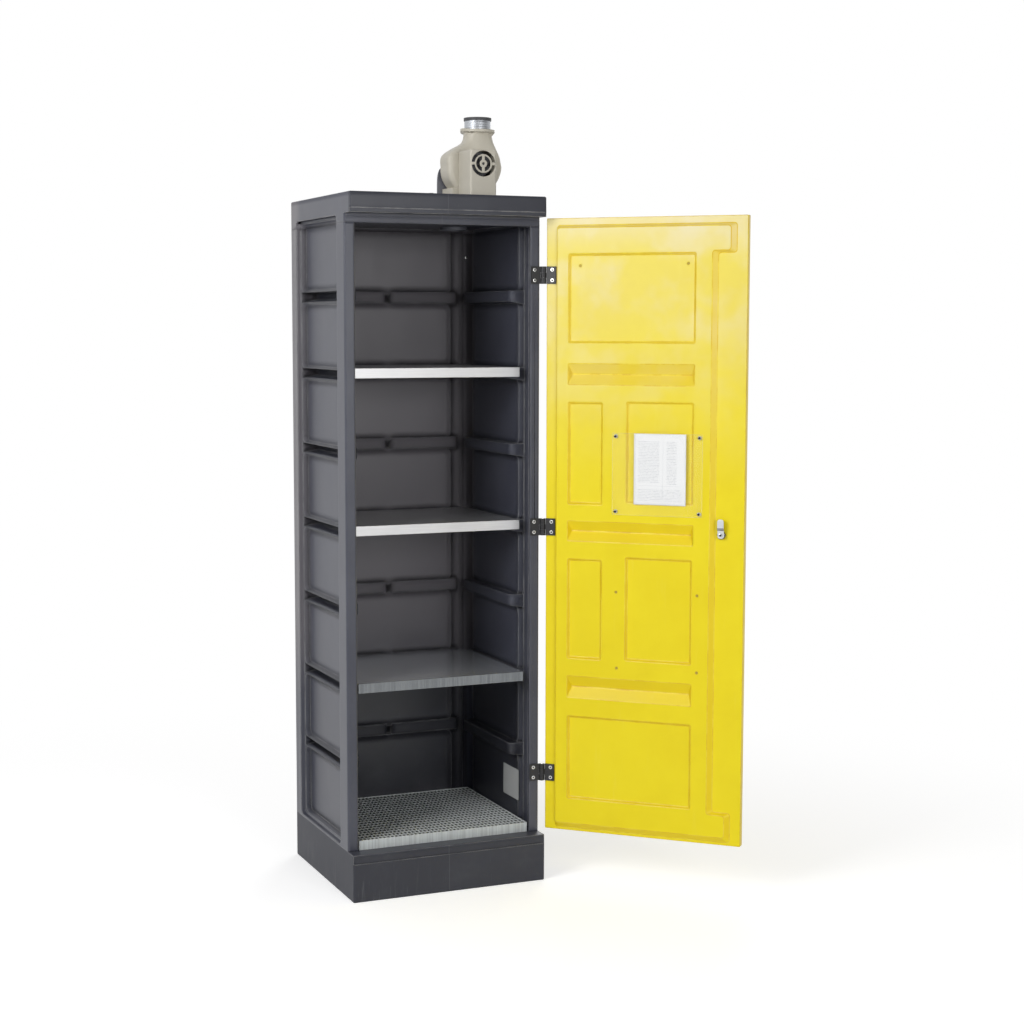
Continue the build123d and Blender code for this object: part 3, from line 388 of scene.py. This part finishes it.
FINISHES = {
    "shell_plastic": shell_plastic(),
    "door_plastic": door_plastic(),
    "hinge_plastic": plain_plastic(
        "black_hinge_plastic", tint(0.010, 0.010, 0.011), tint(0.016, 0.016, 0.018), 0.42
    ),
    "screw_steel": plated("zinc_screw", tint(0.80, 0.80, 0.78), tint(0.52, 0.51, 0.48), 0.28),
    "insert_brass": plain_plastic("insert_cap", tint(0.42, 0.30, 0.03), tint(0.52, 0.38, 0.03), 0.4),
    "spacer_plastic": plain_plastic("clear_spacer", tint(0.62, 0.62, 0.56), tint(0.70, 0.70, 0.64), 0.3),
    "acrylic": clear_sheet("clear_acrylic", tint(0.97, 0.98, 0.96), 0.025, 0.03),
    "paper": printed_paper(),
    "lock_metal": plated("chrome_lock", tint(0.60, 0.62, 0.66), tint(0.48, 0.50, 0.54), 0.20),
    "shelf_steel": brushed_sheet(
        "stainless_shelf", tint(0.54, 0.54, 0.545), tint(0.64, 0.64, 0.645), 0.42, (9, 620, 620)
    ),
    "galvanised_steel": galvanised("galvanised_zinc", tint(0.50, 0.525, 0.53), tint(0.64, 0.665, 0.67), 1.0),
    "fan_plastic": plain_plastic(
        "beige_fan_plastic", tint(0.53, 0.497, 0.418), tint(0.595, 0.562, 0.476), 0.44, soft=evenly(0.004)
    ),
    "bracket_plastic": plain_plastic(
        "grey_duct_plastic", tint(0.115, 0.118, 0.140), tint(0.145, 0.148, 0.172), 0.42
    ),
    "motor_metal": plated("motor_paint", tint(0.06, 0.06, 0.065), tint(0.10, 0.10, 0.10), 0.4),
    "shaft_steel": plated("ground_steel", tint(0.62, 0.62, 0.61), tint(0.42, 0.42, 0.41), 0.25),
    "seal_rubber": rubber("dark_ring_rubber", tint(0.055, 0.056, 0.062), tint(0.085, 0.086, 0.092)),
    "gland_plastic": plain_plastic(
        "black_gland_plastic", tint(0.012, 0.012, 0.014), tint(0.02, 0.02, 0.023), 0.38
    ),
}
EDGES = {
    # The shell's rounds are paler than its wall, a painted highlight; the door's rounds are a deeper orange
    # than its wall, painted shade. Both are paler in rubbed patches of wear.
    "shell_plastic": edge_wear_and_light("worn_shell_edge", tint(0.085, 0.087, 0.098), tint(0.20, 0.20, 0.21), 0.40),
    "door_plastic": edge_wear_and_light("worn_door_edge", tint(0.74, 0.50, 0.008), tint(0.86, 0.68, 0.04), 0.40),
    "acrylic": clear_sheet("acrylic_rim", tint(0.86, 0.90, 0.70), 0.45, 0.08),
}
# The lower shelf's zinc has a darker front face as painted shade.
SHELF_ZINC = galvanised(
    "shelf_zinc", tint(0.80, 0.83, 0.87), tint(0.86, 0.89, 0.93), 0.75, 0.16,
    front=(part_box("shelf_lower")[0].y, tint(0.225, 0.238, 0.248), tint(0.155, 0.165, 0.175)),
)
# The grating's zinc has painted shade below its top and a darker front face.
GRATING_ZINC = galvanised(
    "grating_zinc", tint(0.74, 0.77, 0.77), tint(0.82, 0.85, 0.85), 0.2, 0.36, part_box("grating")[1].z,
    (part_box("grating")[0].y, tint(0.60, 0.64, 0.65), tint(0.46, 0.49, 0.50)),
)
TUBE_STEEL = brushed_sheet("tube_steel", tint(0.44, 0.46, 0.49), tint(0.52, 0.54, 0.57), 0.46, (90, 90, 900))
DARK_STEEL = plated("dark_steel", tint(0.16, 0.16, 0.17), tint(0.10, 0.10, 0.11), 0.26)
BLANK_LABEL = plain_plastic("blank_label_film", tint(0.38, 0.39, 0.39), tint(0.44, 0.45, 0.45), 0.42, 120.0)


def finished(name, mesh, body, nodes=(), materials=None):
    """Makes the object of a piece, puts it on the body it rides on, gives it its materials and hides the
    solids it takes the place of.
    """
    piece = bpy.data.objects.new(name, mesh)
    bpy.context.scene.collection.objects.link(piece)
    if materials:
        mesh.materials.clear()
        for material in materials:
            mesh.materials.append(material)
    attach(piece, body)
    if nodes:
        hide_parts(*nodes)
    return piece


def merged(nodes, split=False):
    """A copy of the solids' meshes with their loose triangles joined and flat faces made whole."""
    shape = bmesh.new()
    for node in nodes:
        shape.from_mesh(frame["nodes"][node].data)
    bmesh.ops.remove_doubles(shape, verts=shape.verts, dist=0.000004)
    bmesh.ops.dissolve_limit(shape, angle_limit=radians(0.5), verts=shape.verts, edges=shape.edges)
    if split:
        bmesh.ops.connect_verts_concave(shape, faces=shape.faces)
    return shape


def plain_mesh(name, shape, sharp):
    """Turns a shape into a mesh that is smooth except at edges above an angle."""
    mesh = bpy.data.meshes.new(name)
    shape.to_mesh(mesh)
    shape.free()
    mesh.shade_smooth()
    mesh.set_sharp_from_angle(angle=radians(sharp))
    return mesh


def softened(piece, width, edge_slot=-1):
    """Rounds the edges that carry a bevel weight, and gives the round the edge material if there is one."""
    bevel = piece.modifiers.new("edge_round", "BEVEL")
    bevel.width = width
    bevel.segments = 2
    bevel.limit_method = "WEIGHT"
    bevel.use_clamp_overlap = False
    bevel.material = edge_slot
    evened = piece.modifiers.new("even_shading", "WEIGHTED_NORMAL")
    evened.keep_sharp = True


def weigh_edges(shape, least, skip=()):
    """Marks the sharp edges to be rounded, except short ones and those in the planes where pieces meet."""
    weight = shape.edges.layers.float.new("bevel_weight_edge")
    for edge in shape.edges:
        if len(edge.link_faces) != 2 or edge.calc_length() < least:
            continue
        if edge.calc_face_angle(0) < radians(22):
            continue
        if any(all(abs(vert.co[axis] - level) < 0.0002 for vert in edge.verts) for axis, level in skip):
            continue
        edge[weight] = 1.0


def dressed(name, nodes, width, sharp=20, least=0.0, skip=(), split=False, finish=None, reshape=None):
    """A smooth, softly edged piece in the place of solids that share a body and a finish."""
    slot, body = SLOT_OF[nodes[0]], BODY_OF[nodes[0]]
    shape = merged(nodes, split)
    if reshape:
        reshape(shape)
    weigh_edges(shape, least, skip)
    mesh = plain_mesh(name, shape, sharp)
    materials = [finish or FINISHES[slot]] + ([EDGES[slot]] if slot in EDGES else [])
    piece = finished(name, mesh, body, nodes, materials)
    if width:
        softened(piece, width, 1 if slot in EDGES else -1)
    return piece


def lathe(profile, centre, axis, steps=48):
    """A closed turned shape from radius and height pairs about an axis."""
    shape = bmesh.new()
    turn = Matrix.Translation(centre) @ axis.to_track_quat("Z", "Y").to_matrix().to_4x4()
    rings = []
    for radius, height in profile:
        ring = []
        for step in range(steps if radius > 0 else 1):
            angle = 2 * pi * step / steps
            ring.append(shape.verts.new(turn @ Vector((radius * cos(angle), radius * sin(angle), height))))
        rings.append(ring)
    for low, high in zip(rings, rings[1:]):
        for step in range(steps):
            after = (step + 1) % steps
            corners = [low[step % len(low)], low[after % len(low)]]
            corners += [high[after % len(high)], high[step % len(high)]]
            shape.faces.new(list(dict.fromkeys(corners)))
    bmesh.ops.recalc_face_normals(shape, faces=shape.faces)
    return shape


def grown(name, tree, values, base, body, nodes):
    """Runs a node tree on a base mesh and keeps the result as a plain mesh."""
    holder = bpy.data.objects.new(name + "_base", base)
    bpy.context.scene.collection.objects.link(holder)
    growth = holder.modifiers.new("growth", "NODES")
    growth.node_group = tree
    for item in tree.interface.items_tree:
        if item.in_out == "INPUT" and item.name in values:
            growth[item.identifier] = values[item.name]
    depsgraph = bpy.context.evaluated_depsgraph_get()
    mesh = bpy.data.meshes.new_from_object(holder.evaluated_get(depsgraph), depsgraph=depsgraph)
    mesh.name = name
    holder.modifiers.clear()
    bpy.data.objects.remove(holder)
    return finished(name, mesh, body, nodes)


def growth_tree(name, inputs):
    """A Geometry Nodes tree with named inputs; returns its graph and a way to read the inputs."""
    tree = bpy.data.node_groups.new(name, "GeometryNodeTree")
    tree.interface.new_socket("Geometry", in_out="INPUT", socket_type="NodeSocketGeometry")
    for title, kind in inputs.items():
        tree.interface.new_socket(title, in_out="INPUT", socket_type=kind)
    tree.interface.new_socket("Geometry", in_out="OUTPUT", socket_type="NodeSocketGeometry")
    graph = Graph(tree)
    entry = tree.nodes.new("NodeGroupInput")
    return graph, lambda title: Value(graph, entry.outputs[title])


def end_tree(graph, shapes, material):
    """Closes a tree: instances become real, and the finish is set."""
    joined = graph.tree.nodes.new("GeometryNodeJoinGeometry")
    for shape in shapes:
        graph.feed(joined.inputs[0], shape)
    real = graph.node("GeometryNodeRealizeInstances", {}, {"Geometry": Value(graph, joined.outputs[0])})
    painted = graph.node("GeometryNodeSetMaterial", {}, {"Geometry": real, "Material": material})
    graph.feed(graph.tree.nodes.new("NodeGroupOutput").inputs[0], painted)
    return graph.tree


def screw_tree():
    """One screw head at each point, turned to face outwards and spun at random."""
    graph, given = growth_tree("screw_row", {
        "Head": "NodeSocketObject",
        "Facing": "NodeSocketRotation",
        "Spin seed": "NodeSocketInt",
        "Finish": "NodeSocketMaterial",
    })
    head = graph.node("GeometryNodeObjectInfo", {}, {"Object": given("Head")}, "Geometry")
    placed = graph.node("GeometryNodeInstanceOnPoints", {}, {
        "Points": given("Geometry"), "Instance": head, "Rotation": given("Facing"),
    })
    spin = graph.node("FunctionNodeRandomValue", {"data_type": "FLOAT"}, {
        2: 0.0, 3: 2 * pi, "Seed": given("Spin seed"),
    }, 1)
    turn = graph.node("ShaderNodeCombineXYZ", {}, {"Z": spin})
    spun = graph.node("GeometryNodeRotateInstances", {}, {
        "Instances": placed, "Rotation": turn, "Local Space": True,
    })
    return end_tree(graph, [spun], given("Finish"))


def bar_row(graph, given, title):
    """A straight row of equal bars."""
    line = graph.node("GeometryNodeMeshLine", {"mode": "OFFSET"}, {
        "Count": given(title + " count"),
        "Start Location": given(title + " start"),
        "Offset": given(title + " step"),
    })
    bar = graph.node("GeometryNodeMeshCube", {}, {"Size": given(title + " size")})
    return graph.node("GeometryNodeInstanceOnPoints", {}, {"Points": line, "Instance": bar})


def grating_tree():
    """Bearing bars from front to back and thin rods across them, inside a rim."""
    inputs = {"Finish": "NodeSocketMaterial"}
    for title in ("Bar", "Rod"):
        inputs[title + " count"] = "NodeSocketInt"
        for part in (" start", " step", " size"):
            inputs[title + part] = "NodeSocketVector"
    graph, given = growth_tree("grating_grid", inputs)
    shapes = [given("Geometry"), bar_row(graph, given, "Bar"), bar_row(graph, given, "Rod")]
    return end_tree(graph, shapes, given("Finish"))


def recessed_head(radius, rise, recess):
    """A screw head: a low dome with a cross recess, closed underneath."""
    shape = bmesh.new()
    steps = 24
    shares = [0.16, 0.34, 0.50, 0.62, 0.82, 0.95, 1.0]
    socket, arms = 0.55, 4
    # The hollow weight marks the cross recess, where the screw finish paints shade.
    hollow = shape.verts.layers.float.new("hollow")
    middle = shape.verts.new((0, 0, rise - recess))
    middle[hollow] = 1.0
    rings = []
    for share in shares:
        ring = []
        for step in range(steps):
            angle = 2 * pi * step / steps
            height = rise * (1 - share ** 4 * 0.8)
            if step % (steps // arms) == 0 and share < socket:
                height = rise - recess * (1 - share)
            if share == shares[0]:
                height = rise - recess
            vert = shape.verts.new((radius * share * cos(angle), radius * share * sin(angle), height))
            vert[hollow] = 1.0 if share < socket else 0.0
            ring.append(vert)
        rings.append(ring)
    rings.append([shape.verts.new((v.co.x, v.co.y, -recess)) for v in rings[-1]])
    for step in range(steps):
        shape.faces.new((middle, rings[0][step], rings[0][(step + 1) % steps]))
    for low, high in zip(rings, rings[1:]):
        for step in range(steps):
            after = (step + 1) % steps
            shape.faces.new((low[step], high[step], high[after], low[after]))
    shape.faces.new(reversed(rings[-1]))
    bmesh.ops.recalc_face_normals(shape, faces=shape.faces)
    return plain_mesh("screw_head", shape, 25)


SCREWS = screw_tree()


def screw_row(node, facing, radius, rise, recess, seed, finish=None):
    """The heads of one group of screws, set on the outermost level of each solid in the group."""
    shape = bmesh.new()
    shape.from_mesh(frame["nodes"][node].data)
    bmesh.ops.remove_doubles(shape, verts=shape.verts, dist=0.000004)
    left = set(shape.verts)
    spots = []
    while left:
        group, edge = set(), [left.pop()]
        while edge:
            vert = edge.pop()
            group.add(vert)
            near = {other for link in vert.link_edges for other in link.verts} & left
            left -= near
            edge.extend(near)
        top = max(vert.co.dot(facing) for vert in group)
        rim = [vert.co for vert in group if vert.co.dot(facing) > top - 0.0001]
        low = Vector([min(co[axis] for co in rim) for axis in range(3)])
        high = Vector([max(co[axis] for co in rim) for axis in range(3)])
        spots.append((low + high) / 2)
    shape.free()
    spots.sort(key=lambda co: (round(co.z, 4), round(co.x, 4), round(co.y, 4)))
    points = bpy.data.meshes.new(node + "_points")
    points.from_pydata([tuple(co) for co in spots], [], [])
    head = bpy.data.objects.new("head_shape", recessed_head(radius, rise, recess))
    slot = SLOT_OF[node]
    values = {
        "Head": head,
        "Facing": facing.to_track_quat("Z", "Y").to_euler(),
        "Spin seed": seed,
        "Finish": finish or FINISHES[slot],
    }
    piece = grown(node + "_heads", SCREWS, values, points, BODY_OF[node], (node,))
    bpy.data.objects.remove(head)
    return piece


def box_shape(shape, low, high):
    """Adds a closed block between two corners."""
    made = bmesh.ops.create_cube(shape, size=1.0)["verts"]
    for vert in made:
        vert.co = Vector([low[i] if vert.co[i] < 0 else high[i] for i in range(3)])


# Shell: walls, lid and plinth meet without a visible seam
plinth_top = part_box("cabinet_plinth")[1].z
lid_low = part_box("cabinet_lid")[0].z
back_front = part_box("cabinet_back")[0].y
SHELL_JOINTS = [(2, plinth_top), (2, lid_low), (1, back_front)]
WALLS = ["cabinet_side_left", "cabinet_side_right", "cabinet_back"]


def closed_brim(shape):
    """Closes the underside of the lid's brim, the header's front and the tops of the wall recesses."""
    low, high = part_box("cabinet_lid")
    brim, recess = low.z + 25.3 * MM, low.z + 14.0 * MM
    side, front, back = high.x - 12.6 * MM, low.y + 4.0 * MM, high.y - 10.6 * MM
    rail, half = 18.0 * MM, high.x - 5.3 * MM
    header_front, header_back = front + 41.2 * MM, front + 61.0 * MM
    box_shape(shape, (-half, front, brim), (half, front + 62.0 * MM, brim + rail))
    box_shape(shape, (-half, header_front, recess), (half, header_back, brim + 0.5 * rail))
    for left, right in ((-side, rail - side), (side - rail, side)):
        box_shape(shape, (left, front + 50.0 * MM, recess), (right, back, recess + rail))
    box_shape(shape, (-side, back - rail, recess), (side, back, recess + 2 * rail))


dressed("cabinet_walls", WALLS, 0.8 * MM, skip=SHELL_JOINTS, split=True)
dressed(
    "lid_moulding", ["cabinet_lid"], 1.3 * MM,
    least=10.0 * MM, skip=SHELL_JOINTS, split=True, reshape=closed_brim,
)
dressed("plinth_moulding", ["cabinet_plinth"], 0.8 * MM, least=10.0 * MM)

# Door and the pieces on it
dressed("door_moulding", ["door"], 1.3 * MM)
for number in range(1, 4):
    for side in ("frame", "door"):
        dressed(f"hinge_{side}_cast_{number}", [f"hinge_{side}_leaf_{number}"], 0.5 * MM)
    dressed(f"hinge_pin_turned_{number}", [f"hinge_pin_{number}"], 0)
screw_row("hinge_frame_screws", FRONT, 4.9 * MM, 0.2 * MM, 1.3 * MM, 3)
screw_row("hinge_door_screws", -DOOR_OUT, 4.9 * MM, 0.2 * MM, 1.3 * MM, 5)
screw_row("holder_screws", -DOOR_OUT, 3.9 * MM, 0.6 * MM, 1.5 * MM, 7, DARK_STEEL)
screw_row("wall_anchor_screws", FRONT, 3.9 * MM, 0.6 * MM, 1.5 * MM, 9)
screw_row("fan_foot_screws", UP, 4.9 * MM, 0.8 * MM, 1.8 * MM, 11)
screw_row("cam_screw", -DOOR_OUT, 4.9 * MM, 0.7 * MM, 1.9 * MM, 13, FINISHES["shaft_steel"])
dressed("door_insert_caps", ["door_inserts"], 0.3 * MM)
dressed("holder_standoffs", ["holder_spacers"], 0.3 * MM)
dressed("holder_pane", ["holder_plate"], 0.4 * MM)
dressed("lock_barrel", ["lock_housing"], 0.4 * MM)
dressed("lock_hex_nut", ["lock_nut"], 0.5 * MM, finish=DARK_STEEL)
dressed("lock_plug", ["lock_core"], 0.3 * MM)
dressed("lock_tongue", ["lock_cam"], 0.4 * MM, finish=folded_chrome())


def form_sheet():
    """The sheet behind the clear plate: slightly bowed, with its own page coordinates."""
    low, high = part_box("document_sheet")
    thick = 0.3 * MM
    offsets = [vert.co.dot(DOOR_OUT) for vert in frame["nodes"]["document_sheet"].data.vertices]
    spans = [vert.co.dot(DOOR_ALONG) for vert in frame["nodes"]["document_sheet"].data.vertices]
    near, far = min(spans), max(spans)
    level = (min(offsets) + max(offsets)) / 2
    shape = bmesh.new()
    page = shape.loops.layers.uv.new("page")
    columns, rows = 24, 30
    grid = []
    for row in range(rows + 1):
        line = []
        for column in range(columns + 1):
            across, along = column / columns, row / rows
            bow = 0.5 * MM * sin(pi * across) * sin(pi * along)
            spot = DOOR_ALONG * (near + (far - near) * across) + DOOR_OUT * (level - bow)
            spot.z = low.z + (high.z - low.z) * along
            line.append(shape.verts.new(spot))
        grid.append(line)
    for row in range(rows):
        for column in range(columns):
            corners = [(row, column), (row, column + 1), (row + 1, column + 1), (row + 1, column)]
            face = shape.faces.new([grid[r][c] for r, c in corners])
            for loop, (r, c) in zip(face.loops, corners):
                loop[page].uv = (c / columns, r / rows)
    mesh = plain_mesh("form_sheet", shape, 60)
    piece = finished("form_sheet", mesh, "door", ("document_sheet",), [FINISHES["paper"]])
    solid = piece.modifiers.new("paper_thickness", "SOLIDIFY")
    solid.thickness = thick
    solid.offset = 0
    return piece


form_sheet()

# Shelves and grating
for name, finish in (("upper", None), ("middle", None), ("lower", SHELF_ZINC)):
    dressed(f"shelf_{name}_sheet", [f"shelf_{name}"], 0.5 * MM, finish=finish)


def grating_grid():
    """The grating over the sump: rim, deep front bar, bearing bars and rods."""
    low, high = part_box("grating")
    rim = 3.0 * MM
    base = bmesh.new()
    box_shape(base, (low.x, low.y, low.z), (high.x, low.y + rim, high.z))
    box_shape(base, (low.x, high.y - rim, low.z), (high.x, high.y, high.z))
    box_shape(base, (low.x, low.y + rim, low.z), (low.x + rim, high.y - rim, high.z))
    box_shape(base, (high.x - rim, low.y + rim, low.z), (high.x, high.y - rim, high.z))
    bmesh.ops.bevel(base, geom=base.edges[:], offset=0.5 * MM, segments=1, affect="EDGES")
    mesh = plain_mesh("grating_rim", base, 30)
    bars, rods = 42, 18
    inner = high.x - low.x - 2 * rim
    run = high.y - low.y - 2 * rim
    step, gap = inner / (bars + 1), run / (rods + 1)
    values = {
        "Bar count": bars,
        "Bar start": (low.x + rim + step, (low.y + high.y) / 2, high.z - 10.5 * MM),
        "Bar step": (step, 0, 0),
        "Bar size": (2.0 * MM, run, 20.0 * MM),
        "Rod count": rods,
        "Rod start": (0, low.y + rim + gap, high.z - 3.6 * MM),
        "Rod step": (0, gap, 0),
        "Rod size": (inner, 3.2 * MM, 4.0 * MM),
        "Finish": GRATING_ZINC,
    }
    return grown("grating_grid", grating_tree(), values, mesh, "grating", ("grating",))


grating_grid()

# Fan, duct and gland on the roof


def drawn_neck(shape):
    """Fills out the scroll's upper left, and draws the neck in to a round under the flange."""
    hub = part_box("fan_shaft")
    hub = (hub[0] + hub[1]) / 2
    core, swell = 40.0 * MM, 12.0 * MM
    for vert in shape.verts:
        out, rise = hub.x - vert.co.x, vert.co.z - hub.z
        reach = hypot(out, rise)
        if out > 0 and rise > 0 and reach > core:
            push = 1 + swell * sin(2 * atan2(rise, out)) / reach
            vert.co.x, vert.co.z = hub.x - out * push, hub.z + rise * push
    low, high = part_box("outlet_spigot")
    axis = Vector(((low.x + high.x) / 2, (low.y + high.y) / 2, 0))
    flange_low, start, rim = low.z - 8.0 * MM, low.z - 80.0 * MM, 49.0 * MM
    slices, outside, inside = 8, 40.5 * MM, 37.5 * MM
    cuts = [((0, 0, start + (flange_low - start) * step / slices), UP) for step in range(1, slices)]
    cuts += [((axis.x + side * 16.0 * MM, 0, 0), Vector((1, 0, 0))) for side in (-2, -1, 1, 2)]
    cuts += [((0, axis.y + side * 14.0 * MM, 0), Vector((0, 1, 0))) for side in (-2, -1, 1, 2)]
    for spot, facing in cuts:
        geom = shape.verts[:] + shape.edges[:] + shape.faces[:]
        bmesh.ops.bisect_plane(shape, geom=geom, plane_co=spot, plane_no=facing)
    shape.normal_update()
    moved = {}
    for vert in shape.verts:
        away = Vector((vert.co.x - axis.x, vert.co.y - axis.y, 0))
        on_flange = vert.co.z > flange_low + 0.5 * MM or abs(away.length - rim) < 0.6 * MM
        if vert.co.z < start or (on_flange and vert.co.z > flange_low - 0.5 * MM):
            continue
        limit = outside if vert.normal.dot(away) > 0 else inside
        if away.length > limit:
            share = (vert.co.z - start) / (flange_low - start)
            share = share * share * (3 - 2 * share)
            moved[vert] = vert.co + away.normalized() * (limit - away.length) * share
    for vert, spot in moved.items():
        vert.co = spot


dressed("fan_scroll_moulding", ["fan_scroll"], 0.5 * MM, split=True, reshape=drawn_neck)
dressed("fan_cover_moulding", ["fan_motor_cover"], 0.5 * MM, split=True)


def lower_crown(shape):
    """Keeps the bracket's crown below the scroll's outline."""
    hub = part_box("fan_shaft")[0].z
    for vert in shape.verts:
        if vert.co.z > hub:
            vert.co.z = hub + (vert.co.z - hub) * 0.4


dressed("fan_bracket_plate", ["fan_rear_bracket"], 0.5 * MM, reshape=lower_crown)
dressed("fan_elbow_tube", ["fan_inlet_elbow"], 0)
dressed("roof_collar_ring", ["roof_collar"], 0.5 * MM)
dressed("fan_motor_can", ["fan_motor"], 0.5 * MM)
dressed("fan_shaft_turned", ["fan_shaft"], 0)
dressed("fan_wheel", ["fan_impeller"], 0)
dressed("gland_base", ["cable_gland_body"], 0.5 * MM)
dressed("gland_cap", ["cable_gland_nut"], 0.5 * MM)


def beaded_spigot():
    """The metal outlet: a thin tube with three rolled beads."""
    low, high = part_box("outlet_spigot")
    centre = Vector(((low.x + high.x) / 2, (low.y + high.y) / 2, low.z))
    outer, wall, tall = (high.x - low.x) / 2, 1.5 * MM, high.z - low.z - OUTLET_DROP
    skin = outer - 0.2 * MM
    ring_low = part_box("outlet_seal")[0].z - low.z
    profile = [(outer - wall, 0), (outer, 0)]
    beads, bead, half_bead = 3, 0.45 * MM, 2.2 * MM
    pitch = ring_low / (beads + 1)
    for index in range(1, beads + 1):
        for share in (-1.0, -0.5, 0.0, 0.5, 1.0):
            bulge = bead * cos(share * pi / 2)
            profile.append((skin + bulge, pitch * index + share * half_bead))
    profile += [(skin, ring_low), (skin, tall), (outer - wall, tall), (outer - wall, 0)]
    shape = lathe(profile, centre, UP)
    bmesh.ops.remove_doubles(shape, verts=shape.verts, dist=0.000004)
    mesh = plain_mesh("outlet_tube", shape, 35)
    return finished("outlet_tube", mesh, "cabinet", ("outlet_spigot",), [TUBE_STEEL])


beaded_spigot()


def lowered_ring(shape):
    """Takes a little off the top of the outlet's dark ring."""
    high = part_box("outlet_seal")[1].z
    for vert in shape.verts:
        if vert.co.z > high - 0.5 * MM:
            vert.co.z -= OUTLET_DROP


dressed("outlet_ring", ["outlet_seal"], 0.5 * MM, reshape=lowered_ring)


def blank_label():
    """A bare pale label on the right inner wall, above the grating."""
    shape = bmesh.new()
    wall_x, thick = 0.255, 0.5 * MM
    y_span, z_span = (-0.148, -0.038), (0.205, 0.294)
    corner, steps = 3.0 * MM, 4
    outline = []
    for side_y, side_z, start in ((1, 1, 0), (0, 1, 1), (0, 0, 2), (1, 0, 3)):
        centre = (y_span[side_y] + (corner if side_y == 0 else -corner),
                  z_span[side_z] + (corner if side_z == 0 else -corner))
        for step in range(steps + 1):
            angle = (start + step / steps) * pi / 2
            outline.append((centre[0] + corner * cos(angle), centre[1] + corner * sin(angle)))
    rings = [[shape.verts.new((x, y, z)) for y, z in outline] for x in (wall_x - thick, wall_x - 0.02 * MM)]
    shape.faces.new(rings[0])
    shape.faces.new(rings[1])
    for step in range(len(outline)):
        after = (step + 1) % len(outline)
        shape.faces.new((rings[0][step], rings[0][after], rings[1][after], rings[1][step]))
    bmesh.ops.recalc_face_normals(shape, faces=shape.faces)
    mesh = plain_mesh("blank_label", shape, 30)
    return finished("blank_label", mesh, "cabinet", (), [BLANK_LABEL])


blank_label()


def seen_rays(graph):
    """One for rays from the camera, in a mirror or through glass, and nought for rays that light things."""
    path = graph.tree.nodes.new("ShaderNodeLightPath")
    camera, glossy, through = (
        Value(graph, path.outputs[name]) for name in ("Is Camera Ray", "Is Glossy Ray", "Is Transmission Ray")
    )
    return graph.maths("MINIMUM", camera + glossy + through, 1.0)


def pale_floor():
    """A white floor that keeps a soft shadow near the cabinet and fades into the white backdrop."""
    reach = 14.0
    mesh = bpy.data.meshes.new("studio_floor")
    corners = [(-reach, -reach, 0), (reach, -reach, 0), (reach, reach, 0), (-reach, reach, 0)]
    mesh.from_pydata(corners, [], [(0, 1, 2, 3)])
    floor = bpy.data.objects.new("studio_floor", mesh)
    bpy.context.scene.collection.objects.link(floor)
    paint = Finish("white_floor", {
        "Base Color": tint(0.80, 0.80, 0.80), "Roughness": 0.9, "Specular IOR Level": 0.1,
    })
    seen = seen_rays(paint)
    away = paint.node("ShaderNodeVectorMath", {"operation": "LENGTH"}, {0: paint.place}, "Value")
    far = away.between(0.9, 2.6)
    glow = paint.node("ShaderNodeEmission", {}, {"Color": tint(1, 1, 1), "Strength": 0.47})
    white = paint.node("ShaderNodeEmission", {}, {"Color": tint(1, 1, 1), "Strength": 1.0})
    base = Value(paint, paint.shader.outputs[0])
    lifted = paint.node("ShaderNodeAddShader", {}, {0: base, 1: glow})
    shown = paint.node("ShaderNodeMixShader", {}, {0: far, 1: lifted, 2: white})
    both = paint.node("ShaderNodeMixShader", {}, {0: seen, 1: base, 2: shown})
    paint.feed(paint.tree.nodes["Material Output"].inputs["Surface"], both)
    mesh.materials.append(paint.material)


def studio_light():
    """Even light from all round, dimmer in mirrors to the front, and soft lights on three sides."""
    world = bpy.data.worlds.new("studio")
    bpy.context.scene.world = world
    world.use_nodes = True
    graph = Graph(world.node_tree)
    ambient, dimmed = 0.38, 0.8
    seen = seen_rays(graph)
    heading = graph.node("ShaderNodeTexCoord", out="Object")
    ahead = graph.node("ShaderNodeSeparateXYZ", {}, {"Vector": heading}, 1).between(0.1, -0.5)
    path = graph.tree.nodes.new("ShaderNodeLightPath")
    mirrored = Value(graph, path.outputs["Is Glossy Ray"]) * ahead
    sky = world.node_tree.nodes["Background"]
    sky.inputs["Color"].default_value = tint(1, 1, 1)
    graph.feed(sky.inputs["Strength"], seen * (1 - ambient) + ambient - mirrored * dimmed)
    aim = Vector((0.1, -0.2, 1.0))
    for name, spot, size, watts in (
        ("left_softbox", (-3.2, -1.7, 2.5), (1.6, 2.0), 78),
        ("front_softbox", (0.5, -5.5, 1.9), (1.6, 1.6), 70),
        ("back_softbox", (2.8, 3.8, 2.8), (2.0, 2.0), 55),
    ):
        lamp = bpy.data.lights.new(name, "AREA")
        lamp.shape = "RECTANGLE"
        lamp.size, lamp.size_y = size
        lamp.energy = watts
        light = bpy.data.objects.new(name, lamp)
        light.location = spot
        light.rotation_euler = (aim - light.location).to_track_quat("-Z", "Y").to_euler()
        bpy.context.scene.collection.objects.link(light)


def photo_camera():
    """The camera of the photograph, found by fitting the cabinet's corners."""
    yaw, pitch, roll = radians(23.3645), radians(5.6608), radians(0.1033)
    forward = Vector((sin(yaw) * cos(pitch), cos(yaw) * cos(pitch), -sin(pitch)))
    level = Vector((cos(yaw), -sin(yaw), 0))
    rise = level.cross(forward)
    right = level * cos(roll) + rise * sin(roll)
    top = rise * cos(roll) - level * sin(roll)
    lens = bpy.data.cameras.new("photo_camera")
    sensor, focal_pixels, frame_pixels = 36.0, 1885.12, 1024
    lens.sensor_width = sensor
    lens.lens = sensor * focal_pixels / frame_pixels
    camera = bpy.data.objects.new("photo_camera", lens)
    turn = Matrix((right, top, -forward)).transposed().to_4x4()
    stand = (-1.87622, -5.02997, 1.56886)
    camera.matrix_world = Matrix.Translation(stand) @ turn
    bpy.context.scene.collection.objects.link(camera)
    bpy.context.scene.camera = camera


pale_floor()
studio_light()
photo_camera()
bpy.context.scene.view_settings.view_transform = "Standard"
